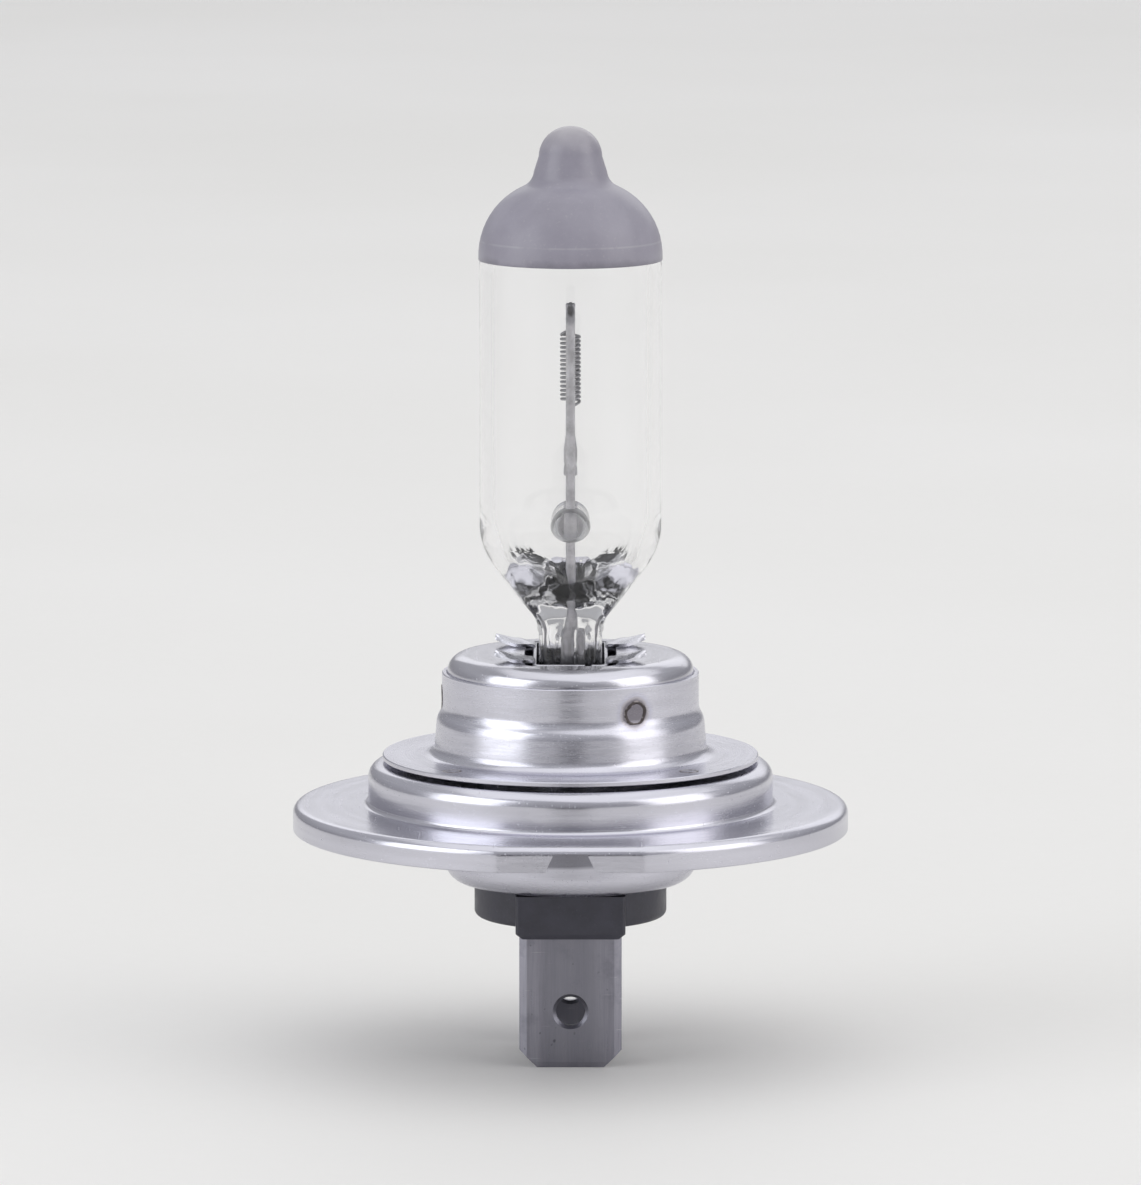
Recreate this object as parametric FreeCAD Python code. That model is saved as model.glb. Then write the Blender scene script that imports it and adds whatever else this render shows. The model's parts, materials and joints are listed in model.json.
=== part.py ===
import FreeCAD, Part
import math
import os

# Halogen headlight bulb with a pinched quartz capsule and a flanged two-blade base.
# Millimetres. The origin is where the lamp axis crosses the front of the mounting flange,
# +Z runs up the axis to the glass tip, and the two terminal blades face each other along Y.

# Quartz capsule
TUBE_RADIUS = 5.6
BORE_RADIUS = 4.75
TIP_TOP = 41.85
TIP_RADIUS = 1.9
TIP_CENTRE = 40.05
NECK_RADIUS = 2.2
NECK_TOP = 39.1
DOME_FOOT = 33.8
CAVITY_FOOT = 12.8
BORE_FOOT = 18.2
BORE_TOP = 33.4
CAVITY_PEAK = 38.7

# Points on the capsule's curves, each (radius, height)
TIP_MIDDLE = (1.34, 41.3)
NECK_MIDDLE = (2.4, 38.55)
DOME_START = (2.9, 38.15)
DOME_MIDDLE = (4.75, 36.6)
CROWN = (2.2, 37.35)
CROWN_MIDDLE = (4.05, 35.95)

# Pinch seal
PINCH_THICK = 4.1
PINCH_WIDTH = 9.4
PINCH_FOOT = 2.9
PINCH_TOP = 11.75
PINCH_WIDE_TOP = 12.15
WEB_THICK = 3.0
RIB_WIDTH = 1.4
RIB_MARGIN = 0.8
SHOULDER_TOP = 15.85
SHOULDER_WIDE_TOP = 14.85
KNEE_BEND = 1.5
SHOULDER_BEND = 4.0

# Opaque coating on the tip and dome
COAT_THICK = 0.05
COAT_EDGE = 33.7

# Filament and the leads that hold it
COIL_FOOT = 25.0
COIL_LENGTH = 4.1
COIL_RADIUS = 0.56
COIL_TURNS = 15.5
COIL_WIRE = 0.17
TAIL_STEP = 0.5
TAIL_FOOT = 20.6
TAIL_TOP = 31.1
LEAD_WIRE = 0.56
LEAD_OFFSET = 1.8
LEAD_FOOT = 8.4
LONG_LEAD_TOP = 31.0
LONG_LEAD_BEND = 0.8
SHORT_LEAD_TOP = 21.2
SHORT_LEAD_BEND = 0.7
UPPER_CLAMP_RADIUS = 0.3
UPPER_CLAMP_FOOT = 29.9
UPPER_CLAMP_TOP = 31.05
LOWER_CLAMP_RADIUS = 0.42
LOWER_CLAMP_NECK = 0.16
LOWER_CLAMP_FOOT = 20.4
LOWER_CLAMP_SHOULDER = 22.0
LOWER_CLAMP_TOP = 23.8
BEAD_RADIUS = 1.22
BEAD_LENGTH = 6.1
BEAD_HEIGHT = 17.4
BEAD_ROUNDING = 1.1

# Sealing foils and the leads below them
FOIL_THICK = 0.06
FOIL_WIDTH = 2.0
FOIL_FOOT = 4.2
FOIL_TOP = 9.6
FOIL_OFFSET = 2.2
OUTER_WIRE = 0.7
OUTER_TOP = 5.4
OUTER_BEND = 0.8
OUTER_BEND_HEIGHT = 2.1

# Cap, clip and focusing sleeve
SHEET = 0.3
CAP_TOP = 9.3
CAP_RADIUS = 7.6
CAP_FOOT = 4.6
CAP_BEND = 1.1
APERTURE_THICK = 5.6
APERTURE_WIDTH = 10.6
APERTURE_CORNER = 0.8
CLIP_SHEET = 0.2
CLIP_GAP = 0.05
CLIP_FOOT = 5.2
CLIP_TOP = 8.6
CLIP_ARM_WIDTH = 3.0
PETAL_WIDTH = 2.2
PETAL_OFFSET = 3.4
PETAL_FOOT = 8.4
PETAL_RISE = 0.2
PETAL_BEND = 0.3
PETAL_MIDDLE = (3.5, 9.56)
PETAL_MIDDLE_BEND = 1.5
PETAL_TIP = (4.6, 9.84)
SLEEVE_TOP = 8.2
SLEEVE_RADIUS = 7.92
SLEEVE_STEP_TOP = 5.95
SLEEVE_STEP_FOOT = 5.35
SLEEVE_FLARE = 8.25
SLEEVE_STEP_BEND = 1.2
SLEEVE_FOOT_RADIUS = 8.44
SLEEVE_FOOT_BEND = 0.7
FOOT_RADIUS = 11.6
FOOT_TOP = 3.1

# Base shell: locating cylinder, mounting flange and key
BASE_SHEET = 0.5
BASE_TOP = 2.55
LOCATING_RADIUS = 12.5
FLANGE_RADIUS = 17.15
RIM_FOOT = -1.6
BASE_BEND = 0.9
WALL_FILLET = 0.3
RIM_BEND = 0.55
BASE_BORE = 7.1
KEY_FLAT = 16.55
KEY_NOTCH_FOOT_WIDTH = 3.1
KEY_NOTCH_TOP_WIDTH = 2.0
KEY_NOTCH_HEIGHT = 1.15

# Collar and insulator behind the flange
RING_RADIUS = 7.76
RING_FOOT = -4.8
RING_BEND = 1.2
RING_FLANGE_RADIUS = 10.6
INSULATOR_RADIUS = 5.94
INSULATOR_FOOT = -7.0
INSULATOR_TOP = -2.0
INSULATOR_BEND = 0.35
INSULATOR_FLANGE_RADIUS = 7.2
BLOCK_WIDTH = 6.75
BLOCK_DEPTH = 12.0
BLOCK_FOOT = -7.6
BLOCK_TOP = -4.9
BLOCK_CHAMFER = 0.35
RECESS_TOP = -6.2
RECESS_WIDTH = 4.75
RECESS_DEPTH = 5.6

# Terminal blades
BLADE_WIDTH = 6.3
BLADE_THICK = 0.8
BLADE_FOOT = -15.8
BLADE_OFFSET = 4.2
BEVEL_WIDTH = 0.45
BEVEL_DEPTH = 0.25
TIP_CHAMFER = 1.1
HOLE_RADIUS = 0.9
HOLE_HEIGHT = -12.3
HOLE_RIM = 0.2
SHOULDER_WIDTH = 7.6
SHOULDER_HEIGHT = 0.8
TONGUE_WIDTH = 2.4
TONGUE_TOP = 1.6
CRIMP_RADIUS = 0.62
CRIMP_WALL = 0.08
CRIMP_OFFSET = BLADE_OFFSET - BLADE_THICK / 2 - CRIMP_WALL - OUTER_WIRE / 2
CRIMP_FOOT = -0.5
CRIMP_TOP = 0.8

# Laser welds
SLEEVE_WELD_COUNT = 3
FLANGE_WELD_COUNT = 4
SLEEVE_WELD_RADIUS = 0.8
SLEEVE_WELD_HEIGHT = 6.6
SLEEVE_WELD_START = -60.0
FLANGE_WELD_RADIUS = 0.6
FOOT_WELD_CIRCLE = 10.2
RING_WELD_CIRCLE = 9.3
WELD_RISE = 0.06
FLANGE_WELD_RISE = 0.04
CRATER_RADIUS = 0.55
CRATER_DEPTH = 0.13

ORIGIN = FreeCAD.Vector(0, 0, 0)
X_AXIS = FreeCAD.Vector(1, 0, 0)
Y_AXIS = FreeCAD.Vector(0, 1, 0)
Z_AXIS = FreeCAD.Vector(0, 0, 1)
FULL_TURN = 360
FRONT, REAR = -1, 1

# Sizes of cutting shapes, larger than anything they cut
REACH = 50.0
CUT_MARGIN = 1.0
SLAB_CLEARANCE = 0.01


def point(x, y, z):
    return FreeCAD.Vector(x, y, z)


def segment(start, end):
    return Part.LineSegment(start, end).toShape()


def bent_path(corners, bends):
    """A wire of straight runs, with each inner corner rounded by a tangent arc of its bend radius."""
    edges, start = [], corners[0]
    for before, corner, after, bend in zip(corners, corners[1:], corners[2:], bends):
        arriving = (corner - before).normalize()
        leaving = (after - corner).normalize()
        half_turn = arriving.getAngle(leaving) / 2
        run_in = corner - arriving * (bend * math.tan(half_turn))
        run_out = corner + leaving * (bend * math.tan(half_turn))
        inward = (leaving - arriving).normalize()
        middle = corner + inward * (bend / math.cos(half_turn) - bend)
        edges.append(segment(start, run_in))
        edges.append(Part.Arc(run_in, middle, run_out).toShape())
        start = run_out
    edges.append(segment(start, corners[-1]))
    return Part.Wire(edges)


def profile(*corners):
    """An open line of (radius, height, bend) corners in the XZ plane."""
    points = [point(radius, 0, height) for radius, height, _ in corners]
    return bent_path(points, [bend for _, _, bend in corners[1:-1]])


def closed(path):
    """The face inside an open path and the straight line that closes it."""
    ends = [path.OrderedVertexes[-1].Point, path.OrderedVertexes[0].Point]
    return Part.Face(Part.Wire(path.OrderedEdges + [segment(*ends)]))


def polygon(*corners):
    return Part.Face(Part.makePolygon(list(corners) + [corners[0]]))


def turned(face):
    return face.revolve(ORIGIN, Z_AXIS, FULL_TURN)


def drawn_sheet(thickness, *corners):
    """Sheet metal turned about the axis: the corners follow its outer skin, and it is thick inwards."""
    skin = profile(*corners)
    return turned(skin.makeOffset2D(-thickness, fill=True, openResult=True))


def foot_edges(shape):
    """The edges round a shape's lowest face."""
    tolerance = 0.01
    return [edge for edge in shape.Edges if edge.BoundBox.ZMax < shape.BoundBox.ZMin + tolerance]


def block(width, depth, foot, top, y=0.0):
    """An upright box centred on X = 0 and on the given Y."""
    return Part.makeBox(width, depth, top - foot, point(-width / 2, y - depth / 2, foot))


def rod(radius, foot, top, x=0.0, y=0.0):
    return Part.makeCylinder(radius, top - foot, point(x, y, foot), Z_AXIS)


def round_wire(path, diameter):
    """A round wire swept along a path."""
    first = path.OrderedEdges[0]
    start = path.OrderedVertexes[0].Point
    direction = first.tangentAt(first.FirstParameter)
    if (first.valueAt(first.FirstParameter) - start).Length > diameter / 10:
        direction = first.tangentAt(first.LastParameter)
    section = Part.Wire(Part.makeCircle(diameter / 2, start, direction))
    return path.makePipeShell([section], True, True)


def wire_chain(corners, diameter):
    """Straight wires between the corners, each corner rounded by a ball."""
    pieces = []
    for start, end in zip(corners, corners[1:]):
        along = end - start
        pieces.append(Part.makeCylinder(diameter / 2, along.Length, start, along))
        pieces.append(Part.makeSphere(diameter / 2, end))
    return pieces[0].fuse(pieces[1:]).removeSplitter()


def around_axis(shape, count, start=0.0):
    """Copies of a shape evenly spaced about the axis."""
    copies = []
    for i in range(count):
        copy = shape.copy()
        copy.rotate(ORIGIN, Z_AXIS, start + i * FULL_TURN / count)
        copies.append(copy)
    return copies


def button(radius, thickness, rise):
    """A weld nugget standing on Z = 0: a disc whose top is a shallow ball segment."""
    ball_radius = (radius ** 2 + rise ** 2) / (2 * rise)
    ball = Part.makeSphere(ball_radius, point(0, 0, thickness - ball_radius))
    return rod(radius, 0, thickness).common(ball)


def dome_edges(grow):
    """The outside of the tip and dome from the axis down to the tube, grown outwards."""
    top = point(0, 0, TIP_TOP + grow)
    tip_foot = point(TIP_RADIUS + grow, 0, TIP_CENTRE)
    neck = point(NECK_RADIUS + grow, 0, NECK_TOP)
    neck_middle = point(NECK_MIDDLE[0] + grow, 0, NECK_MIDDLE[1] + grow / 2)
    dome_start = point(DOME_START[0] + grow / 2, 0, DOME_START[1] + grow)
    dome_foot = point(TUBE_RADIUS + grow, 0, DOME_FOOT)
    return [
        Part.Arc(top, point(TIP_MIDDLE[0] + grow, 0, TIP_MIDDLE[1] + grow), tip_foot).toShape(),
        segment(tip_foot, neck),
        Part.Arc(neck, neck_middle, dome_start).toShape(),
        Part.Arc(dome_start, point(DOME_MIDDLE[0] + grow, 0, DOME_MIDDLE[1] + grow), dome_foot).toShape(),
    ]


def dome_solid(grow, foot):
    """The solid inside the dome outline, down to the given height."""
    edges = dome_edges(grow)
    corner = point(TUBE_RADIUS + grow, 0, DOME_FOOT)
    side = [corner, point(TUBE_RADIUS + grow, 0, foot), point(0, 0, foot), point(0, 0, TIP_TOP + grow)]
    return turned(Part.Face(Part.Wire(edges + [segment(a, b) for a, b in zip(side, side[1:])])))


def cavity_solid():
    """The gas space: a bore with a domed top and a bowl-shaped bottom."""
    bowl_centre = point(0, 0, BORE_FOOT)
    bowl = Part.ArcOfEllipse(Part.Ellipse(point(0, 0, CAVITY_FOOT), point(BORE_RADIUS, 0, BORE_FOOT),
                                          bowl_centre), 0, math.pi / 2).toShape()
    bore_top = point(BORE_RADIUS, 0, BORE_TOP)
    crown = point(CROWN[0], 0, CROWN[1])
    peak = point(0, 0, CAVITY_PEAK)
    edges = [
        bowl,
        segment(point(BORE_RADIUS, 0, BORE_FOOT), bore_top),
        Part.Arc(bore_top, point(CROWN_MIDDLE[0], 0, CROWN_MIDDLE[1]), crown).toShape(),
        segment(crown, peak),
        segment(peak, point(0, 0, CAVITY_FOOT)),
    ]
    return turned(Part.Face(Part.Wire(edges)))


def pinch_slab(half_pinch, knee, shoulder):
    """A long slab along Y whose outline widens with height from the pinch to the tube."""
    half_tube = TUBE_RADIUS + SLAB_CLEARANCE
    right = [(half_pinch, PINCH_FOOT), (half_pinch, knee), (half_tube, shoulder), (half_tube, REACH)]
    points = [point(x, 0, z) for x, z in right]
    side = bent_path(points, [KNEE_BEND, SHOULDER_BEND])
    other = side.mirror(ORIGIN, X_AXIS)
    top = segment(points[-1], point(-half_tube, 0, REACH))
    foot = segment(point(-half_pinch, 0, PINCH_FOOT), points[0])
    outline = Part.Face(Part.Wire(side.Edges + [top] + other.Edges[::-1] + [foot]))
    slab = outline.extrude(Y_AXIS * 2 * REACH)
    slab.translate(Y_AXIS * -REACH)
    return slab


def glass_blank():
    """The outside of the capsule, solid: dome, tube, and the flat pinch with its two edge ribs."""
    blank = dome_solid(0, PINCH_FOOT)
    thin_way = pinch_slab(PINCH_THICK / 2, PINCH_TOP, SHOULDER_TOP)
    wide_way = pinch_slab(PINCH_WIDTH / 2, PINCH_WIDE_TOP, SHOULDER_WIDE_TOP)
    wide_way.rotate(ORIGIN, Z_AXIS, 90)
    blank = blank.common(thin_way).common(wide_way)
    groove_depth = (PINCH_THICK - WEB_THICK) / 2
    groove = block(2 * groove_depth, PINCH_WIDTH - 2 * RIB_WIDTH,
                   PINCH_FOOT + RIB_MARGIN, PINCH_TOP - RIB_MARGIN)
    groove.translate(X_AXIS * (PINCH_THICK / 2))
    return blank.cut([groove, groove.mirror(ORIGIN, X_AXIS)])


def long_support_lead():
    """The lead in front of the coil, bent back over its top to the axis."""
    corners = [point(0, FRONT * LEAD_OFFSET, LEAD_FOOT),
               point(0, FRONT * LEAD_OFFSET, LONG_LEAD_TOP - LEAD_WIRE / 2),
               point(0, 0, LONG_LEAD_TOP - LEAD_WIRE / 2)]
    return round_wire(bent_path(corners, [LONG_LEAD_BEND]), LEAD_WIRE)


def short_support_lead():
    """The lead behind, bent in to the axis below the coil."""
    corners = [point(0, REAR * LEAD_OFFSET, LEAD_FOOT),
               point(0, REAR * LEAD_OFFSET, SHORT_LEAD_TOP),
               point(0, 0, SHORT_LEAD_TOP)]
    return round_wire(bent_path(corners, [SHORT_LEAD_BEND]), LEAD_WIRE)


def filament_coil():
    """Close-wound tungsten coil on the axis, with a straight tail up and a straight tail down."""
    pitch = COIL_LENGTH / COIL_TURNS
    helix = Part.makeHelix(pitch, COIL_LENGTH, COIL_RADIUS)
    helix.translate(Z_AXIS * COIL_FOOT)
    coil = round_wire(helix, COIL_WIRE)
    coil_top = COIL_FOOT + COIL_LENGTH
    low_start = point(COIL_RADIUS, 0, COIL_FOOT)
    high_start = point(-COIL_RADIUS, 0, coil_top)
    low_corners = [low_start, point(0, 0, COIL_FOOT - TAIL_STEP), point(0, 0, TAIL_FOOT)]
    high_corners = [high_start, point(0, 0, coil_top + TAIL_STEP), point(0, 0, TAIL_TOP)]
    tails = [wire_chain(corners, COIL_WIRE) for corners in (low_corners, high_corners)]
    joints = [Part.makeSphere(COIL_WIRE / 2, start) for start in (low_start, high_start)]
    return coil.fuse(tails + joints)


def upper_coil_clamp():
    """Crimped sleeve that joins the upper tail to the long lead."""
    return rod(UPPER_CLAMP_RADIUS, UPPER_CLAMP_FOOT, UPPER_CLAMP_TOP)


def lower_coil_clamp():
    """Crimped sleeve, tapered upwards, that joins the lower tail to the short lead."""
    foot_bend, shoulder_bend, tip_bend = 0.1, 0.6, 0.05
    return turned(closed(profile(
        (0, LOWER_CLAMP_FOOT, 0), (LOWER_CLAMP_RADIUS, LOWER_CLAMP_FOOT, foot_bend),
        (LOWER_CLAMP_RADIUS, LOWER_CLAMP_SHOULDER, shoulder_bend),
        (LOWER_CLAMP_NECK, LOWER_CLAMP_TOP, tip_bend), (0, LOWER_CLAMP_TOP, 0))))


def bridge_bead():
    """Quartz bar lying along Y, pressed round both leads, with rounded ends."""
    bar = Part.makeCylinder(BEAD_RADIUS, BEAD_LENGTH, point(0, -BEAD_LENGTH / 2, BEAD_HEIGHT), Y_AXIS)
    return bar.makeFillet(BEAD_ROUNDING, [e for e in bar.Edges if e.Curve.TypeId == "Part::GeomCircle"])


def sealing_foil(side):
    lead_face = LEAD_WIRE / 2
    return Part.makeBox(FOIL_THICK, FOIL_WIDTH, FOIL_TOP - FOIL_FOOT,
                        point(lead_face, side * FOIL_OFFSET - FOIL_WIDTH / 2, FOIL_FOOT))


def outer_lead(side):
    """Lead from the foil out of the pinch and across to the crimp on its blade's tongue."""
    x = LEAD_WIRE / 2 - OUTER_WIRE / 2
    above_crimp, below_crimp = CRIMP_TOP + 0.5, CRIMP_FOOT - 0.3
    corners = [point(x, side * FOIL_OFFSET, OUTER_TOP), point(x, side * FOIL_OFFSET, OUTER_BEND_HEIGHT),
               point(x, side * CRIMP_OFFSET, above_crimp), point(x, side * CRIMP_OFFSET, below_crimp)]
    return round_wire(bent_path(corners, [OUTER_BEND, OUTER_BEND]), OUTER_WIRE)


def glass_envelope(sealed_in):
    return glass_blank().cut(cavity_solid()).cut(sealed_in)


def antiglare_coating():
    """Thin skin over the outside of the tip and dome."""
    return dome_solid(COAT_THICK, COAT_EDGE).cut(dome_solid(0, COAT_EDGE - CUT_MARGIN))


def clip_petal():
    """One leaf of the clip, on its +X side: up out of the cap and outwards over its top."""
    half = PINCH_THICK / 2 + CLIP_GAP
    line = profile((half, PETAL_FOOT, 0), (half, CAP_TOP + PETAL_RISE, PETAL_BEND),
                   PETAL_MIDDLE + (PETAL_MIDDLE_BEND,), PETAL_TIP + (0,))
    leaf = line.makeOffset2D(-CLIP_SHEET, fill=True, openResult=True)
    return leaf.extrude(Y_AXIS * PETAL_WIDTH)


def pinch_clip():
    """Spring-steel band round the pinch, four leaves at its top and two arms out to the cap."""
    inner_x, inner_y = PINCH_THICK + 2 * CLIP_GAP, PINCH_WIDTH + 2 * CLIP_GAP
    outer_x, outer_y = inner_x + 2 * CLIP_SHEET, inner_y + 2 * CLIP_SHEET
    band = block(outer_x, outer_y, CLIP_FOOT, CLIP_TOP).cut(block(inner_x, inner_y, CLIP_FOOT, CLIP_TOP))
    pieces = []
    for y in (-PETAL_OFFSET, PETAL_OFFSET):
        right = clip_petal()
        right.translate(Y_AXIS * (y - PETAL_WIDTH / 2))
        pieces += [right, right.mirror(ORIGIN, X_AXIS)]
    cap_bore = CAP_RADIUS - SHEET
    arms = block(CLIP_ARM_WIDTH, 2 * cap_bore, CLIP_FOOT, CLIP_FOOT + CLIP_SHEET)
    arms = arms.common(rod(cap_bore, CLIP_FOOT, CLIP_TOP)).cut(block(inner_x, inner_y, CLIP_FOOT, CLIP_TOP))
    return band.fuse(pieces + [arms]).removeSplitter()


def rounded_slab(width, depth, bend, foot, top):
    slab = block(width, depth, foot, top)
    return slab.makeFillet(bend, [e for e in slab.Edges if abs(e.tangentAt(e.FirstParameter).z) > 0.9])


def inner_cap():
    """Drawn cup with a rounded shoulder and an aperture for the pinch and clip."""
    cup = drawn_sheet(SHEET, (0, CAP_TOP, 0), (CAP_RADIUS, CAP_TOP, CAP_BEND), (CAP_RADIUS, CAP_FOOT, 0))
    return cup.cut(rounded_slab(APERTURE_THICK, APERTURE_WIDTH, APERTURE_CORNER,
                                CAP_TOP - CUT_MARGIN, CAP_TOP + CUT_MARGIN))


def focus_sleeve():
    """Drawn sleeve that steps out halfway down and ends in a flat foot flange."""
    return drawn_sheet(
        SHEET, (SLEEVE_RADIUS, SLEEVE_TOP, 0), (SLEEVE_RADIUS, SLEEVE_STEP_TOP, SLEEVE_STEP_BEND),
        (SLEEVE_FLARE, SLEEVE_STEP_FOOT, SLEEVE_STEP_BEND),
        (SLEEVE_FOOT_RADIUS, FOOT_TOP, SLEEVE_FOOT_BEND), (FOOT_RADIUS, FOOT_TOP, 0))


def base_outline(inset):
    """The base shell's outside, filled, or the space inside it when inset by the sheet."""
    wall, rim = LOCATING_RADIUS - inset, FLANGE_RADIUS - inset
    foot = RIM_FOOT - (CUT_MARGIN if inset else 0)
    side = profile((0, BASE_TOP - inset, 0), (wall, BASE_TOP - inset, BASE_BEND - inset),
                   (wall, -inset, WALL_FILLET + inset), (rim, -inset, RIM_BEND - inset), (rim, foot, 0))
    under = [segment(point(rim, 0, foot), point(0, 0, foot)),
             segment(point(0, 0, foot), point(0, 0, BASE_TOP - inset))]
    return turned(Part.Face(Part.Wire(side.OrderedEdges + under)))


def behind_plane(y):
    """Everything with a Y greater than the given one."""
    return Part.makeBox(2 * REACH, 2 * REACH, 2 * REACH, point(-REACH, y, -REACH))


def base_shell():
    """Drawn base: top disc, locating cylinder, flange, turned-down rim, and a key flat at the front."""
    shell = base_outline(0).common(behind_plane(-KEY_FLAT))
    shell = shell.cut(base_outline(BASE_SHEET).common(behind_plane(BASE_SHEET - KEY_FLAT)))
    shell = shell.cut(rod(BASE_BORE, 0, BASE_TOP + CUT_MARGIN))
    half_foot, half_top = KEY_NOTCH_FOOT_WIDTH / 2, KEY_NOTCH_TOP_WIDTH / 2
    notch_top = RIM_FOOT + KEY_NOTCH_HEIGHT
    corners = [(-half_foot, RIM_FOOT), (half_foot, RIM_FOOT), (half_top, notch_top), (-half_top, notch_top)]
    notch = polygon(*[point(x, -KEY_FLAT - CUT_MARGIN, z) for x, z in corners])
    return shell.cut(notch.extrude(Y_AXIS * (2 * CUT_MARGIN + BASE_SHEET)))


def rear_ring():
    """Drawn collar: a flange welded under the base, a straight wall, and a lip turned in at the foot."""
    flange_foot = BASE_TOP - 2 * BASE_SHEET
    return drawn_sheet(BASE_SHEET, (RING_FLANGE_RADIUS, flange_foot, 0),
                       (RING_RADIUS, flange_foot, WALL_FILLET),
                       (RING_RADIUS, RING_FOOT, RING_BEND), (INSULATOR_RADIUS, RING_FOOT, 0))


def insulator():
    """Moulded block: a wide disc inside the collar, a neck through its lip, and a foot at the blades."""
    lip_top = RING_FOOT + BASE_SHEET
    disc = rod(INSULATOR_FLANGE_RADIUS, lip_top, INSULATOR_TOP)
    disc = disc.makeFillet(RING_BEND - BASE_SHEET, foot_edges(disc))
    neck = rod(INSULATOR_RADIUS, INSULATOR_FOOT, lip_top)
    neck = neck.makeFillet(INSULATOR_BEND, foot_edges(neck))
    foot = block(BLOCK_WIDTH, BLOCK_DEPTH, BLOCK_FOOT, BLOCK_TOP)
    foot = foot.makeChamfer(BLOCK_CHAMFER, foot_edges(foot))
    recess = block(RECESS_WIDTH, RECESS_DEPTH, BLOCK_FOOT - CUT_MARGIN, RECESS_TOP)
    return disc.fuse([neck, foot]).removeSplitter().cut(recess)


def terminal_blade(side):
    """Flat blade with bevelled long edges, a chamfered tip, a detent hole, shoulders and a tongue."""
    half, shoulder, tongue = BLADE_WIDTH / 2, SHOULDER_WIDTH / 2, TONGUE_WIDTH / 2
    shoulder_foot, shoulder_top = INSULATOR_TOP, INSULATOR_TOP + SHOULDER_HEIGHT
    face_half, skin = half - BEVEL_WIDTH, BLADE_THICK / 2
    edge_half = skin - BEVEL_DEPTH
    section = [(half, -edge_half), (half, edge_half), (face_half, skin), (-face_half, skin),
               (-half, edge_half), (-half, -edge_half), (-face_half, -skin), (face_half, -skin)]
    plug = polygon(*[point(x, y, BLADE_FOOT) for x, y in section])
    plug = plug.extrude(Z_AXIS * (shoulder_top - BLADE_FOOT))
    head = block(SHOULDER_WIDTH, BLADE_THICK, shoulder_foot, TONGUE_TOP)
    right = [(half - TIP_CHAMFER, BLADE_FOOT), (half, BLADE_FOOT + TIP_CHAMFER), (half, shoulder_foot),
             (shoulder, shoulder_foot), (shoulder, shoulder_top), (tongue, shoulder_top),
             (tongue, TONGUE_TOP)]
    left = [(-x, z) for x, z in reversed(right)]
    outline = polygon(*[point(x, -skin, z) for x, z in right + left]).extrude(Y_AXIS * BLADE_THICK)
    blade = plug.fuse(head).common(outline).removeSplitter()
    hole = Part.makeCylinder(HOLE_RADIUS, 2 * BLADE_THICK, point(0, -BLADE_THICK, HOLE_HEIGHT), Y_AXIS)
    rim = Part.makeCone(HOLE_RADIUS, HOLE_RADIUS + HOLE_RIM, HOLE_RIM,
                        point(0, skin - HOLE_RIM, HOLE_HEIGHT), Y_AXIS)
    blade = blade.cut([hole, rim, rim.mirror(ORIGIN, Y_AXIS)])
    blade.translate(Y_AXIS * side * BLADE_OFFSET)
    return blade


def lead_sleeve(side):
    """Crimp sleeve round the outer lead, pressed flat on the blade's tongue."""
    sleeve = rod(CRIMP_RADIUS, CRIMP_FOOT, CRIMP_TOP, LEAD_WIRE / 2 - OUTER_WIRE / 2, side * CRIMP_OFFSET)
    blade_face = BLADE_OFFSET - BLADE_THICK / 2
    beyond = block(REACH, REACH, CRIMP_FOOT - CUT_MARGIN, CRIMP_TOP + CUT_MARGIN,
                   side * (blade_face + REACH / 2))
    return sleeve.cut(beyond)


def around_sleeve(shape):
    """A shape made on +X, at each of the sleeve's weld places."""
    shape.translate(Z_AXIS * SLEEVE_WELD_HEIGHT)
    return around_axis(shape, SLEEVE_WELD_COUNT, SLEEVE_WELD_START)


def sleeve_welds():
    """Laser spots through the sleeve into the cap, each a low dome with a sunk centre."""
    depth = SLEEVE_RADIUS + WELD_RISE - CAP_RADIUS
    spot = button(SLEEVE_WELD_RADIUS, depth, WELD_RISE)
    spot = spot.cut(Part.makeSphere(CRATER_RADIUS, point(0, 0, depth + CRATER_RADIUS - CRATER_DEPTH)))
    spot.rotate(ORIGIN, Y_AXIS, 90)
    spot.translate(X_AXIS * CAP_RADIUS)
    return around_sleeve(spot)


def sleeve_weld_bores():
    """The round places in the sleeve that the laser spots fill."""
    bore = Part.makeCylinder(SLEEVE_WELD_RADIUS, 2 * SHEET, point(CAP_RADIUS - SHEET / 2, 0, 0), X_AXIS)
    return around_sleeve(bore)


def flange_welds(circle, foot, thickness, start, upwards):
    """Laser spots through a flange, domed on its open side."""
    spot = button(FLANGE_WELD_RADIUS, thickness + FLANGE_WELD_RISE, FLANGE_WELD_RISE)
    if not upwards:
        spot.rotate(ORIGIN, X_AXIS, 180)
    spot.translate(point(circle, 0, foot))
    return around_axis(spot, FLANGE_WELD_COUNT, start)


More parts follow.
